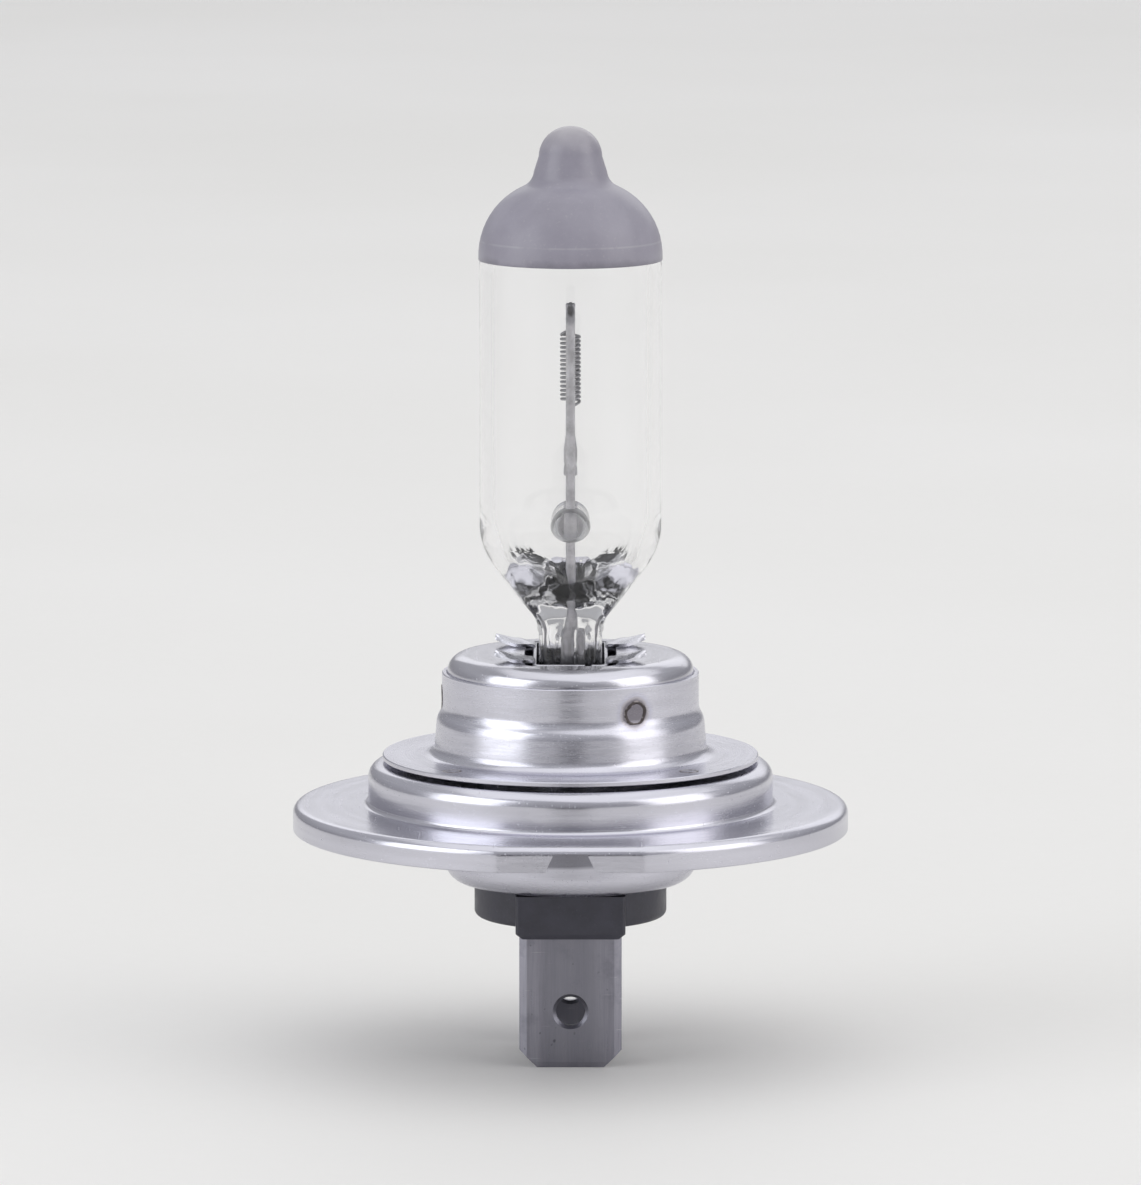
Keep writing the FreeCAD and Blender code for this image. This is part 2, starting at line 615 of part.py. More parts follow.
def build():
    """Every sub-part by name, with contacting pieces cut to meet face to face."""
    parts = {}
    upper_clamp, lower_clamp, coil = upper_coil_clamp(), lower_coil_clamp(), filament_coil()
    long_lead = long_support_lead().cut(upper_clamp)
    short_lead = short_support_lead().cut(lower_clamp)
    outer_leads = {side: outer_lead(side) for side in (FRONT, REAR)}
    foils = {side: sealing_foil(side) for side in (FRONT, REAR)}
    sealed_in = [long_lead, short_lead] + list(outer_leads.values()) + list(foils.values())
    parts["glass_envelope"] = glass_envelope(sealed_in)
    parts["antiglare_coating"] = antiglare_coating()
    parts["filament_coil"] = coil
    parts["upper_coil_clamp"] = upper_clamp.cut(coil)
    parts["lower_coil_clamp"] = lower_clamp.cut(coil)
    parts["long_support_lead"] = long_lead
    parts["short_support_lead"] = short_lead
    parts["bridge_bead"] = bridge_bead().cut([long_lead, short_lead])
    parts["pinch_clip"] = pinch_clip()

    foot_spots = flange_welds(FOOT_WELD_CIRCLE, BASE_TOP, FOOT_TOP - BASE_TOP, 45, True)
    ring_flange_top = BASE_TOP - BASE_SHEET
    ring_spots = flange_welds(RING_WELD_CIRCLE, ring_flange_top, BASE_SHEET, 0, False)
    parts["inner_cap"] = inner_cap()
    parts["focus_sleeve"] = focus_sleeve().cut(sleeve_weld_bores() + foot_spots)
    parts["sleeve_welds"] = Part.makeCompound(sleeve_welds())
    parts["foot_welds"] = Part.makeCompound(foot_spots)
    parts["base_shell"] = base_shell()
    parts["rear_ring"] = rear_ring().cut(ring_spots)
    parts["ring_welds"] = Part.makeCompound(ring_spots)

    blades = {side: terminal_blade(side) for side in (FRONT, REAR)}
    parts["insulator"] = insulator().cut(list(blades.values()))
    for side, name in ((FRONT, "front"), (REAR, "rear")):
        parts[name + "_foil"] = foils[side]
        parts[name + "_outer_lead"] = outer_leads[side]
        parts[name + "_terminal"] = blades[side]
        parts[name + "_lead_sleeve"] = lead_sleeve(side).cut(outer_leads[side])
    return parts


def main():
    os.makedirs("parts", exist_ok=True)
    for name, shape in build().items():
        shape.exportStep(f"parts/{name}.step")
        box = shape.BoundBox
        print(f"{name:20s} solids {len(shape.Solids)} valid {shape.isValid()} volume {shape.Volume:9.3f}"
              f"  z {box.ZMin:7.2f} to {box.ZMax:6.2f}")


main()
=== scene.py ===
import bmesh
import bpy
import json
import math
from mathutils import Matrix, Vector


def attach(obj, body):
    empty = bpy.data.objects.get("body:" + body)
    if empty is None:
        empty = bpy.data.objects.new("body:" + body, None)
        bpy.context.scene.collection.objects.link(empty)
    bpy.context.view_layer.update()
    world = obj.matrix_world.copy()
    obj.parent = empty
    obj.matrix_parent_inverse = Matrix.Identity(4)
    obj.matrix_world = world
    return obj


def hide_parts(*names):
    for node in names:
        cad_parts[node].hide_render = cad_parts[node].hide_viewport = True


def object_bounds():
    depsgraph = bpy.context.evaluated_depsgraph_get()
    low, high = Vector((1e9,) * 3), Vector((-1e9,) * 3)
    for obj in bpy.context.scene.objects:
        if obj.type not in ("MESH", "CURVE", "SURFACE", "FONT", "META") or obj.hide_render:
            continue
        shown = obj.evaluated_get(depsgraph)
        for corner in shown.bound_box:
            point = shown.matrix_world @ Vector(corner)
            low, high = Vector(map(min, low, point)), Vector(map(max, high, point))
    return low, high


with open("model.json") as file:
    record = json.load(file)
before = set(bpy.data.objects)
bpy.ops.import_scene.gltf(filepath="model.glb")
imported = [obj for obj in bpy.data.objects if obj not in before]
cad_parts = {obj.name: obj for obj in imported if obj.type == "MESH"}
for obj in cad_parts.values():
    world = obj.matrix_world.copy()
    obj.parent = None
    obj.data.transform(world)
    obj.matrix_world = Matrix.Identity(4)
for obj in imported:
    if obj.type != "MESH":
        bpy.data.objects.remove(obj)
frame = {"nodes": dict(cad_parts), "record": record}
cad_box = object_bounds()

# Looks for a halogen headlight bulb: finer meshes, procedural materials, light, floor and camera.
# Sizes are in millimetres, as in the CAD source, and meshes are made in metres in the same frame.
MM = 0.001
AROUND = 256
FRONT, REAR = -1, 1

# Quartz capsule. A pair of heights is for the thin way and the wide way of the pinch
TUBE_RADIUS, BORE_RADIUS = 5.6, 4.75
DOME_FOOT, BORE_FOOT, BORE_TOP, CAVITY_FOOT = 33.8, 18.2, 33.4, 12.8
PINCH_THICK, PINCH_WIDTH, PINCH_FOOT = 4.1, 9.4, 2.9
PINCH_TOPS, TUBE_FEET, PINCH_BEND, TUBE_BEND = (11.75, 12.15), (15.85, 14.85), 1.5, 4.0
GROOVE_SHARE, FLUTE_SHARE, FLUTES, FLUTE_WIDTH = 0.268, 0.06, (-0.6, 0.95), 0.28
COAT_THICK, COAT_EDGE, COAT_GAP = 0.05, 33.7, 0.004
# Heights where the crinkle of the glass ends, where the coating thins at the tip and darkens at its edge,
# and of a painted highlight line round it
CRINKLE_END, THIN_TIP, DARK_EDGE, PAINTED_HIGHLIGHT_LINE = (13.8, 16.2), (40.2, 41.7), (33.65, 34.1), 34.9

# Filament and its supports
COIL_FOOT, COIL_TOP, COIL_RADIUS, COIL_TURNS, COIL_WIRE = 25.0, 29.1, 0.56, 15.5, 0.17
TAIL_FOOT, TAIL_TOP, TAIL_STEP = 20.6, 31.1, 0.5
CLAMP_RADIUS, CRIMP_HEIGHT, CRIMP_WIDTH, CRIMP_SHARE = 0.42, 21.1, 0.16, 0.1
LEAD_WIRE, LEAD_OFFSET, LEAD_FOOT = 0.56, 1.8, 8.4
LONG_LEAD_TOP, SHORT_LEAD_TOP = 31.0, 21.2
BEAD_RADIUS, BEAD_LENGTH, BEAD_HEIGHT, BEAD_WAIST = 1.22, 6.1, 17.4, 0.85

# Clip, cap, sleeve, base, collar, insulator, blades and welds
SHEET, BASE_SHEET, CLIP_SHEET, CUT_EDGE = 0.3, 0.5, 0.2, 0.05
BAND_FOOT, BAND_TOP, SLIT, SLIT_WALL = 5.2, 9.3, (0.86, 1.3), (-5.2, -4.5)
ARM_HALF, ARM_END, ARM_FOOT, ARM_TOP = 1.5, 7.1, 5.25, 5.45
# Corners down the middle of a leaf: distance from the axis, height and bend
LEAF_LINE = [(2.13, 8.3), (2.13, 9.5, 0.3), (3.5, 9.56, 1.5), (4.6, 9.84)]
LEAF_OFFSET, LEAF_HALF, LEAF_CROWN = 3.4, 1.1, 0.22
CAP_TOP, CAP_RADIUS, CAP_FOOT, CAP_BEND, CAP_FLAT = 9.3, 7.6, 4.6, 1.1, 6.3
APERTURE, APERTURE_CORNER = (5.6, 10.6), 0.8
SLEEVE_TOP, SLEEVE_RADIUS, FOOT_RADIUS, FOOT_TOP = 8.2, 7.92, 11.6, 3.1
STEP_TOP, STEP_FOOT, STEP_BEND, STEP_RADIUS, SKIRT_RADIUS = 5.95, 5.35, 1.2, 8.25, 8.44
BASE_TOP, LOCATING_RADIUS, FLANGE_RADIUS, RIM_FOOT, BASE_BORE = 2.55, 12.5, 17.15, -1.6, 7.1
KEY_FLAT, RIM_BEND, NOTCH_TOP, NOTCH_HALF_TOP, NOTCH_HALF_FOOT = 16.55, 0.55, -0.45, 1.0, 1.55
RING_RADIUS, RING_FOOT, RING_FLANGE_RADIUS = 7.76, -4.8, 10.6
INSULATOR_RADIUS, INSULATOR_FOOT, INSULATOR_TOP, DISC_RADIUS = 5.94, -7.0, -2.0, 7.2
BLADE_WIDTH, BLADE_THICK, BLADE_FOOT, BLADE_OFFSET = 6.3, 0.8, -15.8, 4.2
BEVEL, BEVELLED_EDGE, TIP_CORNER, TONGUE_HALF, TONGUE_TOP = 0.45, 0.15, 1.1, 1.2, 1.6
SHOULDER_HALF, SHOULDER_FOOT, SHOULDER_TOP = 3.8, -2.0, -1.2
HOLE_RADIUS, HOLE_HEIGHT, HOLE_RIM, END_HALF, END_SLOPE = 0.9, -12.3, 0.2, 0.18, 0.55
# The insulator's block and the recess under it: width, depth, corner, foot, top and eased edge
BLOCK, RECESS = (6.75, 12.0, 0.2, -7.6, -4.9, 0.35), (4.75, 5.6, 0.3, -8.6, -6.2, 0.1)
SLEEVE_WELDS, SLEEVE_WELD_HEIGHT, SLEEVE_WELD_RADIUS = (-60, 60, 180), 6.6, 0.8
FOOT_WELDS, FOOT_WELD_CIRCLE, FOOT_WELD_RADIUS = (45, 135, 225, 315), 10.2, 0.6
# Spans over which a weld's tint fades, the collar's painted shade under the flange starts and a blade's
# painted dark reflection down its middle ends
HEAT_TINT, RING_PAINTED_SHADE, PAINTED_REFLECTION_MIDDLE = (0.8, 1.4), (-3.0, -2.7), (1.4, 2.0)

# Staging: floor and card in millimetres, light and camera in metres, angles in degrees
FLOOR_RADII, FLOOR_GAP, FLOOR_THICK = (0.001, 80, 600, 3500), 0.01, 5
CARD_EDGES, CARD_FACES = (-18, 18, -11.8, 8), (-111, -110)
LIT_POINT = Vector((0, 0, 0.013))
SKY_STRENGTH, SKY_STOPS = 0.50, ((0.02, (0.66, 0.66, 0.70)), (0.45, (0.95, 0.96, 1.0)))
VIEW_HEIGHT, LOOKING_DOWN, CAMERA_DISTANCE = 7.6, 8.0, 0.55


# ---------------------------------------------------------------- mesh helpers

def rounded(corners, steps=10, guard=0.06):
    """A (radius, height) line through (radius, height, bend) corners.

    Each arc has a close point before and after it, which keeps the flats beside it flat."""
    line = [Vector(corners[0][:2])]
    for before, corner, after in zip(corners, corners[1:], corners[2:]):
        point, bend = Vector(corner[:2]), corner[2]
        arriving = (point - Vector(before[:2])).normalized()
        leaving = (Vector(after[:2]) - point).normalized()
        turn = arriving.angle(leaving)
        if bend == 0:
            line.append(point)
            continue
        reach = bend * math.tan(turn / 2)
        start = point - arriving * reach
        end = point + leaving * reach
        centre = point + (leaving - arriving).normalized() * (bend / math.cos(turn / 2))
        line.append(start - arriving * guard)
        for i in range(steps + 1):
            share = i / steps
            line.append(centre + (start - centre) * (math.sin((1 - share) * turn) / math.sin(turn))
                        + (end - centre) * (math.sin(share * turn) / math.sin(turn)))
        line.append(end + leaving * guard)
    line.append(Vector(corners[-1][:2]))
    return line


def arc_through(start, middle, end, steps=12):
    """Points of the circle arc through three points, the first one left out."""
    (ax, ay), (bx, by), (cx, cy) = start, middle, end
    d = 2 * (ax * (by - cy) + bx * (cy - ay) + cx * (ay - by))
    sa, sb, sc = ax * ax + ay * ay, bx * bx + by * by, cx * cx + cy * cy
    centre = Vector(((sa * (by - cy) + sb * (cy - ay) + sc * (ay - by)) / d,
                     (sa * (cx - bx) + sb * (ax - cx) + sc * (bx - ax)) / d))
    radius = (Vector(start) - centre).length
    first = math.atan2(ay - centre.y, ax - centre.x)
    last = math.atan2(cy - centre.y, cx - centre.x)
    sweep = (last - first + math.pi) % (2 * math.pi) - math.pi
    angles = [first + sweep * i / steps for i in range(1, steps + 1)]
    return [centre + radius * Vector((math.cos(a), math.sin(a))) for a in angles]


def moved_sideways(line, distance):
    """The line moved to its left by a distance, mitred at its corners."""
    moved = []
    for i, point in enumerate(line):
        runs = []
        if i > 0:
            runs.append((point - line[i - 1]).normalized())
        if i < len(line) - 1:
            runs.append((line[i + 1] - point).normalized())
        normals = [Vector((-run.y, run.x)) for run in runs]
        normal = sum(normals, Vector((0, 0))).normalized()
        moved.append(point + normal * (distance / normal.dot(normals[0])))
    return moved


def divided(line, step):
    """The line with points added, so that its runs are about a step long at most."""
    points = []
    for low, high in zip(line, line[1:]):
        parts = max(1, round((high - low).length / step))
        points += [low + (high - low) * (i / parts) for i in range(parts)]
    return points + [line[-1]]


def rectangle(left, right, low, high):
    return [(left, low), (right, low), (right, high), (left, high)]


def mirrored(half):
    """A closed outline from its right half, whose foot comes first."""
    return [(-half[0][0], half[0][1])] + half + [(-x, y) for x, y in half[:0:-1]]


def sheet(corners, thickness):
    """Closed outline of sheet metal bent along a line and lying to its right. Its cut edges are eased."""
    outer = rounded(corners)
    inner = moved_sideways(outer, -thickness)
    start_run = (outer[1] - outer[0]).normalized() * CUT_EDGE
    end_run = (outer[-2] - outer[-1]).normalized() * CUT_EDGE
    start_side = Vector((start_run.y, -start_run.x))
    end_side = Vector((-end_run.y, end_run.x))
    return ([outer[0] + start_run] + outer[1:-1] + [outer[-1] + end_run, outer[-1] + end_side]
            + [inner[-1] - end_side, inner[-1] + end_run] + inner[1:-1][::-1]
            + [inner[0] + start_run, inner[0] - start_side, outer[0] + start_side])


def angles_round(count):
    return [2 * math.pi * i / count for i in range(count)]


def circle(radius, height, count=AROUND):
    return [Vector((radius * math.cos(a), radius * math.sin(a), height)) for a in angles_round(count)]


def placed(name, data):
    """An object in the scene that holds a mesh, a light or a camera."""
    made = bpy.data.objects.new(name, data)
    bpy.context.scene.collection.objects.link(made)
    return made


def new_piece(name, points, faces, inside_out=False):
    """A mesh piece from points in millimetres, cleaned, with outward faces."""
    mesh = bpy.data.meshes.new(name)
    mesh.from_pydata([Vector(p) * MM for p in points], [], faces)
    work = bmesh.new()
    work.from_mesh(mesh)
    bmesh.ops.remove_doubles(work, verts=work.verts, dist=1e-4 * MM)
    bmesh.ops.recalc_face_normals(work, faces=work.faces)
    if inside_out:
        bmesh.ops.reverse_faces(work, faces=work.faces)
    work.to_mesh(mesh)
    work.free()
    return placed(name, mesh)


def loft(name, rings, wrap=False, inside_out=False):
    """A skin over closed rings of equal count. With wrap, the last ring joins the first."""
    count = len(rings[0])
    points = [p for ring in rings for p in ring]
    faces = []
    pairs = [(i, i + 1) for i in range(len(rings) - 1)]
    if wrap:
        pairs.append((len(rings) - 1, 0))
    for low, high in pairs:
        for i in range(count):
            j = (i + 1) % count
            faces.append((low * count + i, low * count + j, high * count + j, high * count + i))
    if not wrap:
        faces.append(tuple(range(count))[::-1])
        faces.append(tuple(range((len(rings) - 1) * count, len(rings) * count)))
    return new_piece(name, points, faces, inside_out)


def turned(name, outline, wrap=True, count=AROUND, inside_out=False):
    """An outline of (radius, height) points turned about the lamp axis."""
    return loft(name, [circle(p[0], p[1], count) for p in outline], wrap, inside_out)


def tube(name, path, radii, sides):
    """A round wire of the given radius at each point of a path."""
    rings = []
    run = (path[1] - path[0]).normalized()
    side = run.orthogonal().normalized()
    for i, point in enumerate(path):
        ahead = path[min(i + 1, len(path) - 1)] - path[max(i - 1, 0)]
        turn = run.rotation_difference(ahead.normalized())
        run, side = ahead.normalized(), turn @ side
        across = run.cross(side)
        rings.append([point + (side * math.cos(a) + across * math.sin(a)) * radii[i]
                      for a in angles_round(sides)])
    return loft(name, rings)


def join(name, pieces):
    """Several meshes as one piece."""
    work = bmesh.new()
    for piece in pieces:
        work.from_mesh(piece.data)
    mesh = bpy.data.meshes.new(name)
    work.to_mesh(mesh)
    work.free()
    for piece in pieces:
        bpy.data.objects.remove(piece)
    return placed(name, mesh)


def combined(piece, tool, operation):
    """The piece joined with, cut by or cut down to a tool. Slivers left by the cut are dissolved."""
    modifier = piece.modifiers.new("combine", "BOOLEAN")
    modifier.object = tool
    modifier.operation = operation
    modifier.solver = "MANIFOLD"
    bpy.context.view_layer.update()
    mesh = bpy.data.meshes.new_from_object(piece.evaluated_get(bpy.context.evaluated_depsgraph_get()))
    piece.modifiers.clear()
    piece.data = mesh
    bpy.data.objects.remove(tool)
    work = bmesh.new()
    work.from_mesh(mesh)
    bmesh.ops.remove_doubles(work, verts=work.verts, dist=1e-3 * MM)
    bmesh.ops.dissolve_degenerate(work, edges=work.edges, dist=1e-3 * MM)
    work.to_mesh(mesh)
    work.free()
    return piece


def smoothed(piece, angle=32):
    """The piece shaded smooth, apart from edges sharper than an angle."""
    piece.data.polygons.foreach_set("use_smooth", [True] * len(piece.data.polygons))
    piece.data.set_sharp_from_angle(angle=math.radians(angle))
    return piece


def prism(name, corners, axis, low, high):
    """A flat outline extruded along one axis. Corners give the other two coordinates in order."""
    def place(corner, depth):
        coordinates = list(corner)
        coordinates.insert(axis, depth)
        return Vector(coordinates)
    count = len(corners)
    points = [place(c, low) for c in corners] + [place(c, high) for c in corners]
    faces = [(i, (i + 1) % count, (i + 1) % count + count, i + count) for i in range(count)]
    faces += [tuple(range(count))[::-1], tuple(range(count, 2 * count))]
    return new_piece(name, points, faces)


def smoothstep(low, high, value):
    share = min(max((value - low) / (high - low), 0.0), 1.0)
    return share * share * (3 - 2 * share)


def rounded_rectangle(width, depth, corner, height, count=AROUND):
    """Points at even angles on a rounded rectangle centred on the axis."""
    half_x, half_y = width / 2 - corner, depth / 2 - corner
    ring = []
    for angle in angles_round(count):
        ray = Vector((math.cos(angle), math.sin(angle)))
        reach = min((width / 2) / max(abs(ray.x), 1e-9), (depth / 2) / max(abs(ray.y), 1e-9))
        spot = ray * reach
        if abs(spot.x) > half_x and abs(spot.y) > half_y:
            centre = Vector((math.copysign(half_x, ray.x), math.copysign(half_y, ray.y)))
            along = ray.dot(centre)
            spot = ray * (along + math.sqrt(along * along - centre.length_squared + corner * corner))
        ring.append(Vector((spot.x, spot.y, height)))
    return ring


# ---------------------------------------------------------------- shapes

def dome_line(grow):
    """Outside of the glass from the top of the tip down to the tube."""
    line = [Vector((0, 41.85 + grow))]
    line += arc_through(line[-1], (1.34 + grow, 41.3 + grow), (1.9 + grow, 40.05))
    line.append(Vector((2.2 + grow, 39.1)))
    line += arc_through(line[-1], (2.4 + grow, 38.55 + grow / 2), (2.9 + grow / 2, 38.15 + grow))
    return line + arc_through(line[-1], (4.75 + grow, 36.6 + grow), (TUBE_RADIUS + grow, DOME_FOOT))


def at_height(line, height):
    """The first coordinate of a line at a height."""
    for low, high in zip(line, line[1:]):
        if low.y <= height <= high.y and high.y > low.y:
            return low.x + (high.x - low.x) * (height - low.y) / (high.y - low.y)
    return line[-1].x


def capsule():
    """Glass skin outside, from the pinch to the tip, and the gas space inside it."""
    sides = [rounded([(pinch / 2, PINCH_FOOT), (pinch / 2, pinch_top, PINCH_BEND),
                      (TUBE_RADIUS, tube_foot, TUBE_BEND), (TUBE_RADIUS, DOME_FOOT)], 16)
             for pinch, pinch_top, tube_foot in zip((PINCH_THICK, PINCH_WIDTH), PINCH_TOPS, TUBE_FEET)]
    # Heights of the rings, close together wherever the section changes
    levels = []
    for lowest, step, count in ((PINCH_FOOT, 0.12, 5), (3.5, 0.15, 60), (12.5, 0.16, 36)):
        levels += [lowest + step * i for i in range(count)]
    levels += [18.6, 22.0, 26.0, 30.0, DOME_FOOT - 0.4]
    rings = []
    for height in levels:
        squareness = 5.0 - 3.0 * smoothstep(11.2, 15.6, height)
        foot_ease = 0.25 * (1 - smoothstep(PINCH_FOOT, PINCH_FOOT + 0.45, height))
        half_x, half_y = (at_height(side, height) - foot_ease for side in sides)
        in_groove = smoothstep(3.6, 4.0, height) * (1 - smoothstep(10.4, 11.2, height))
        in_flute = 1 - smoothstep(10.8, 11.8, height)
        ring = []
        for angle in angles_round(AROUND):
            reach = (abs(math.cos(angle)) / half_x) ** squareness
            reach = (reach + (abs(math.sin(angle)) / half_y) ** squareness) ** (-1 / squareness)
            x, y = reach * math.cos(angle), reach * math.sin(angle)
            groove = in_groove * (1 - smoothstep(3.1, 3.5, abs(y))) * smoothstep(0.4, 1.0, abs(x))
            flute = sum(math.exp(-((x - middle) / FLUTE_WIDTH) ** 2) for middle in FLUTES)
            flute *= smoothstep(3.4, 4.2, abs(y)) * in_flute
            ring.append(Vector((x * (1 - GROOVE_SHARE * groove), y * (1 - FLUTE_SHARE * flute), height)))
        rings.append(ring)
    rings += [circle(p.x, p.y) for p in reversed(dome_line(0))]
    skin = loft("glass_skin", rings)
    bowl = [Vector((BORE_RADIUS * math.sin(a), BORE_FOOT - (BORE_FOOT - CAVITY_FOOT) * math.cos(a)))
            for a in (math.pi / 2 * i / 24 for i in range(25))]
    crown = [Vector((BORE_RADIUS, BORE_TOP))]
    crown += arc_through(crown[0], (4.05, 35.95), (2.2, 37.35), 16)
    bore = bowl + [Vector((BORE_RADIUS, BORE_FOOT + 0.3)), Vector((BORE_RADIUS, BORE_TOP - 0.3))] + crown
    bore += arc_through(bore[-1], (1.2, 38.15), (0, 38.7), 8)
    space = turned("glass_space", bore, wrap=False, inside_out=True)
    return smoothed(join("quartz_capsule", [skin, space]), 40)


def coating():
    """A thin skin over the tip and dome, just clear of the glass."""
    outer = TUBE_RADIUS + COAT_THICK
    edge = [(outer, COAT_EDGE + 0.03), (outer - 0.02, COAT_EDGE), (TUBE_RADIUS + COAT_GAP, COAT_EDGE)]
    outline = dome_line(COAT_THICK) + [Vector(p) for p in edge] + dome_line(COAT_GAP)[::-1]
    return smoothed(turned("glare_cap", outline), 40)


def coil():
    """Tail up the axis, close turns, and a tail on to the upper clamp."""
    def wound(radius, angle, height):
        return Vector((radius * math.cos(angle), radius * math.sin(angle), height))
    steps, last = round(COIL_TURNS * 28), 2 * math.pi * COIL_TURNS
    lower, upper = COIL_FOOT - TAIL_STEP, COIL_TOP + TAIL_STEP
    path = [Vector((0, 0, TAIL_FOOT + (lower - TAIL_FOOT) * i / 10)) for i in range(11)]
    for share in (i / 9 for i in range(1, 9)):
        out = COIL_RADIUS * smoothstep(0, 1, share)
        path.append(wound(out, -math.pi / 2 * (1 - share), COIL_FOOT - TAIL_STEP * (1 - share)))
    for share in (i / steps for i in range(steps + 1)):
        path.append(wound(COIL_RADIUS, last * share, COIL_FOOT + (COIL_TOP - COIL_FOOT) * share))
    for share in (i / 9 for i in range(1, 10)):
        out = COIL_RADIUS * (1 - smoothstep(0, 1, share))
        path.append(wound(out, last + math.pi / 2 * share, COIL_TOP + TAIL_STEP * share))
    path += [Vector((0, 0, upper + (TAIL_TOP - upper) * i / 4)) for i in range(1, 5)]
    return smoothed(tube("coil", path, [COIL_WIRE / 2] * len(path), 14), 60)


def support_lead(name, side, top, bend):
    """A straight lead bent over to the axis. Its foot is pressed a little thinner where it meets the foil."""
    line = rounded([(side * LEAD_OFFSET, LEAD_FOOT), (side * LEAD_OFFSET, top, bend), (0, top)], 16, 0.1)
    path = [Vector((0, p.x, p.y)) for p in divided(line, 0.8)]
    radii = [LEAD_WIRE / 2 * (0.82 + 0.18 * smoothstep(LEAD_FOOT, LEAD_FOOT + 1.2, p.z)) for p in path]
    radii[0] *= 0.8
    radii[-1] *= 0.8
    return smoothed(tube(name, path, radii, 28), 50)


def upper_clamp():
    """A short crimp, waisted in the middle."""
    outline = [(0, 29.9), (0.24, 29.9), (0.29, 29.95), (0.3, 30.1), (0.26, 30.25), (0.25, 30.45),
               (0.27, 30.6), (0.3, 30.75), (0.3, 30.97), (0.24, 31.05), (0, 31.05)]
    return smoothed(turned("upper_clamp", outline, wrap=False, count=48), 50)


def lower_clamp():
    """A longer crimp, pinched at one height and tapering up to the coil's tail."""
    def crimped(radius, height):
        pinch = CRIMP_SHARE * math.exp(-((height - CRIMP_HEIGHT) / CRIMP_WIDTH) ** 2)
        return Vector((radius * (1 - pinch), height))
    outline = rounded([(0, 20.4), (CLAMP_RADIUS, 20.4, 0.1), (CLAMP_RADIUS, 22.0, 0.6), (0.16, 23.8, 0.05),
                       (0, 23.8)], 8, 0.03)
    wall = [crimped(CLAMP_RADIUS, 20.6 + 0.05 * i) for i in range(21)]
    # The wall's even points take the place of the last two points of the foot's arc
    outline = [crimped(p.x, p.y) for p in outline[:9]] + wall + outline[11:]
    outline.sort(key=lambda p: p.y)
    return smoothed(turned("lower_clamp", outline, wrap=False, count=48), 50)


def bead():
    """Quartz bar pressed round both leads: a ball where each lead passes, and a waist between them."""
    rings = []
    steps = 72
    for i in range(steps + 1):
        y = -BEAD_LENGTH / 2 * math.cos(math.pi * i / steps)
        from_ball = (abs(y) - LEAD_OFFSET) / BEAD_RADIUS
        ball = math.sqrt(max(1 - from_ball * from_ball, 0.0001))
        radius = BEAD_RADIUS * ball
        if from_ball <= 0:
            radius = BEAD_WAIST + (BEAD_RADIUS - BEAD_WAIST) * smoothstep(0.2, 1.0, ball)
        rings.append([Vector((radius * math.cos(a), y, BEAD_HEIGHT + radius * math.sin(a)))
                      for a in angles_round(64)])
    return smoothed(loft("bead", rings), 50)


def leaf(side_x, side_y):
    """One leaf of the clip, raised along its middle and narrowing to a point."""
    spine = divided(rounded(LEAF_LINE, 6, 0.1), 0.12)
    lengths = [0.0]
    for low, high in zip(spine, spine[1:]):
        lengths.append(lengths[-1] + (high - low).length)
    across = [2 * k / 12 - 1 for k in range(13)]
    rings = []
    for top, under, length in zip(spine, moved_sideways(spine, -CLIP_SHEET), lengths):
        share = length / lengths[-1]
        tip = max(0.0, (share - 0.55) / 0.45)
        half = LEAF_HALF * (0.7 + 0.3 * smoothstep(0.3, 0.6, share)) * max(1 - tip ** 1.8, 0.02)
        crown = LEAF_CROWN * smoothstep(0.35, 0.6, share)
        ring = [Vector((top.x, half * u, top.y + (1 - u * u) * crown)) for u in across]
        ring += [Vector((under.x, half * u * 0.97, under.y + (1 - u * u) * crown)) for u in across[::-1]]
        rings.append([Vector((side_x * p.x, side_y * LEAF_OFFSET + p.y, p.z)) for p in ring])
    return loft("leaf", rings)


def clip():
    """Band round the pinch, open at one slit, with an arm at each narrow end and four leaves."""
    inner = [PINCH_THICK + 0.1, PINCH_WIDTH + 0.1]
    outer = [size + 2 * CLIP_SHEET for size in inner]
    eased = [size - 2 * CUT_EDGE for size in outer]
    band = loft("clip", [rounded_rectangle(*inner, 0.3, BAND_FOOT),
                         rounded_rectangle(*outer, 0.5, BAND_FOOT),
                         rounded_rectangle(*outer, 0.5, BAND_TOP - CUT_EDGE),
                         rounded_rectangle(*eased, 0.45, BAND_TOP),
                         rounded_rectangle(*inner, 0.3, BAND_TOP)], wrap=True)
    slit = rectangle(*SLIT, BAND_FOOT - 0.2, BAND_TOP + 0.2)
    combined(band, prism("slit", slit, 1, *SLIT_WALL), "DIFFERENCE")
    for side in (-1, 1):
        arm = rectangle(-ARM_HALF, ARM_HALF, side * (outer[1] / 2 - 0.02), side * ARM_END)
        combined(band, prism("arm", arm, 2, ARM_FOOT, ARM_TOP), "UNION")
    for side_x in (-1, 1):
        for side_y in (-1, 1):
            combined(band, leaf(side_x, side_y), "UNION")
    return smoothed(band, 38)


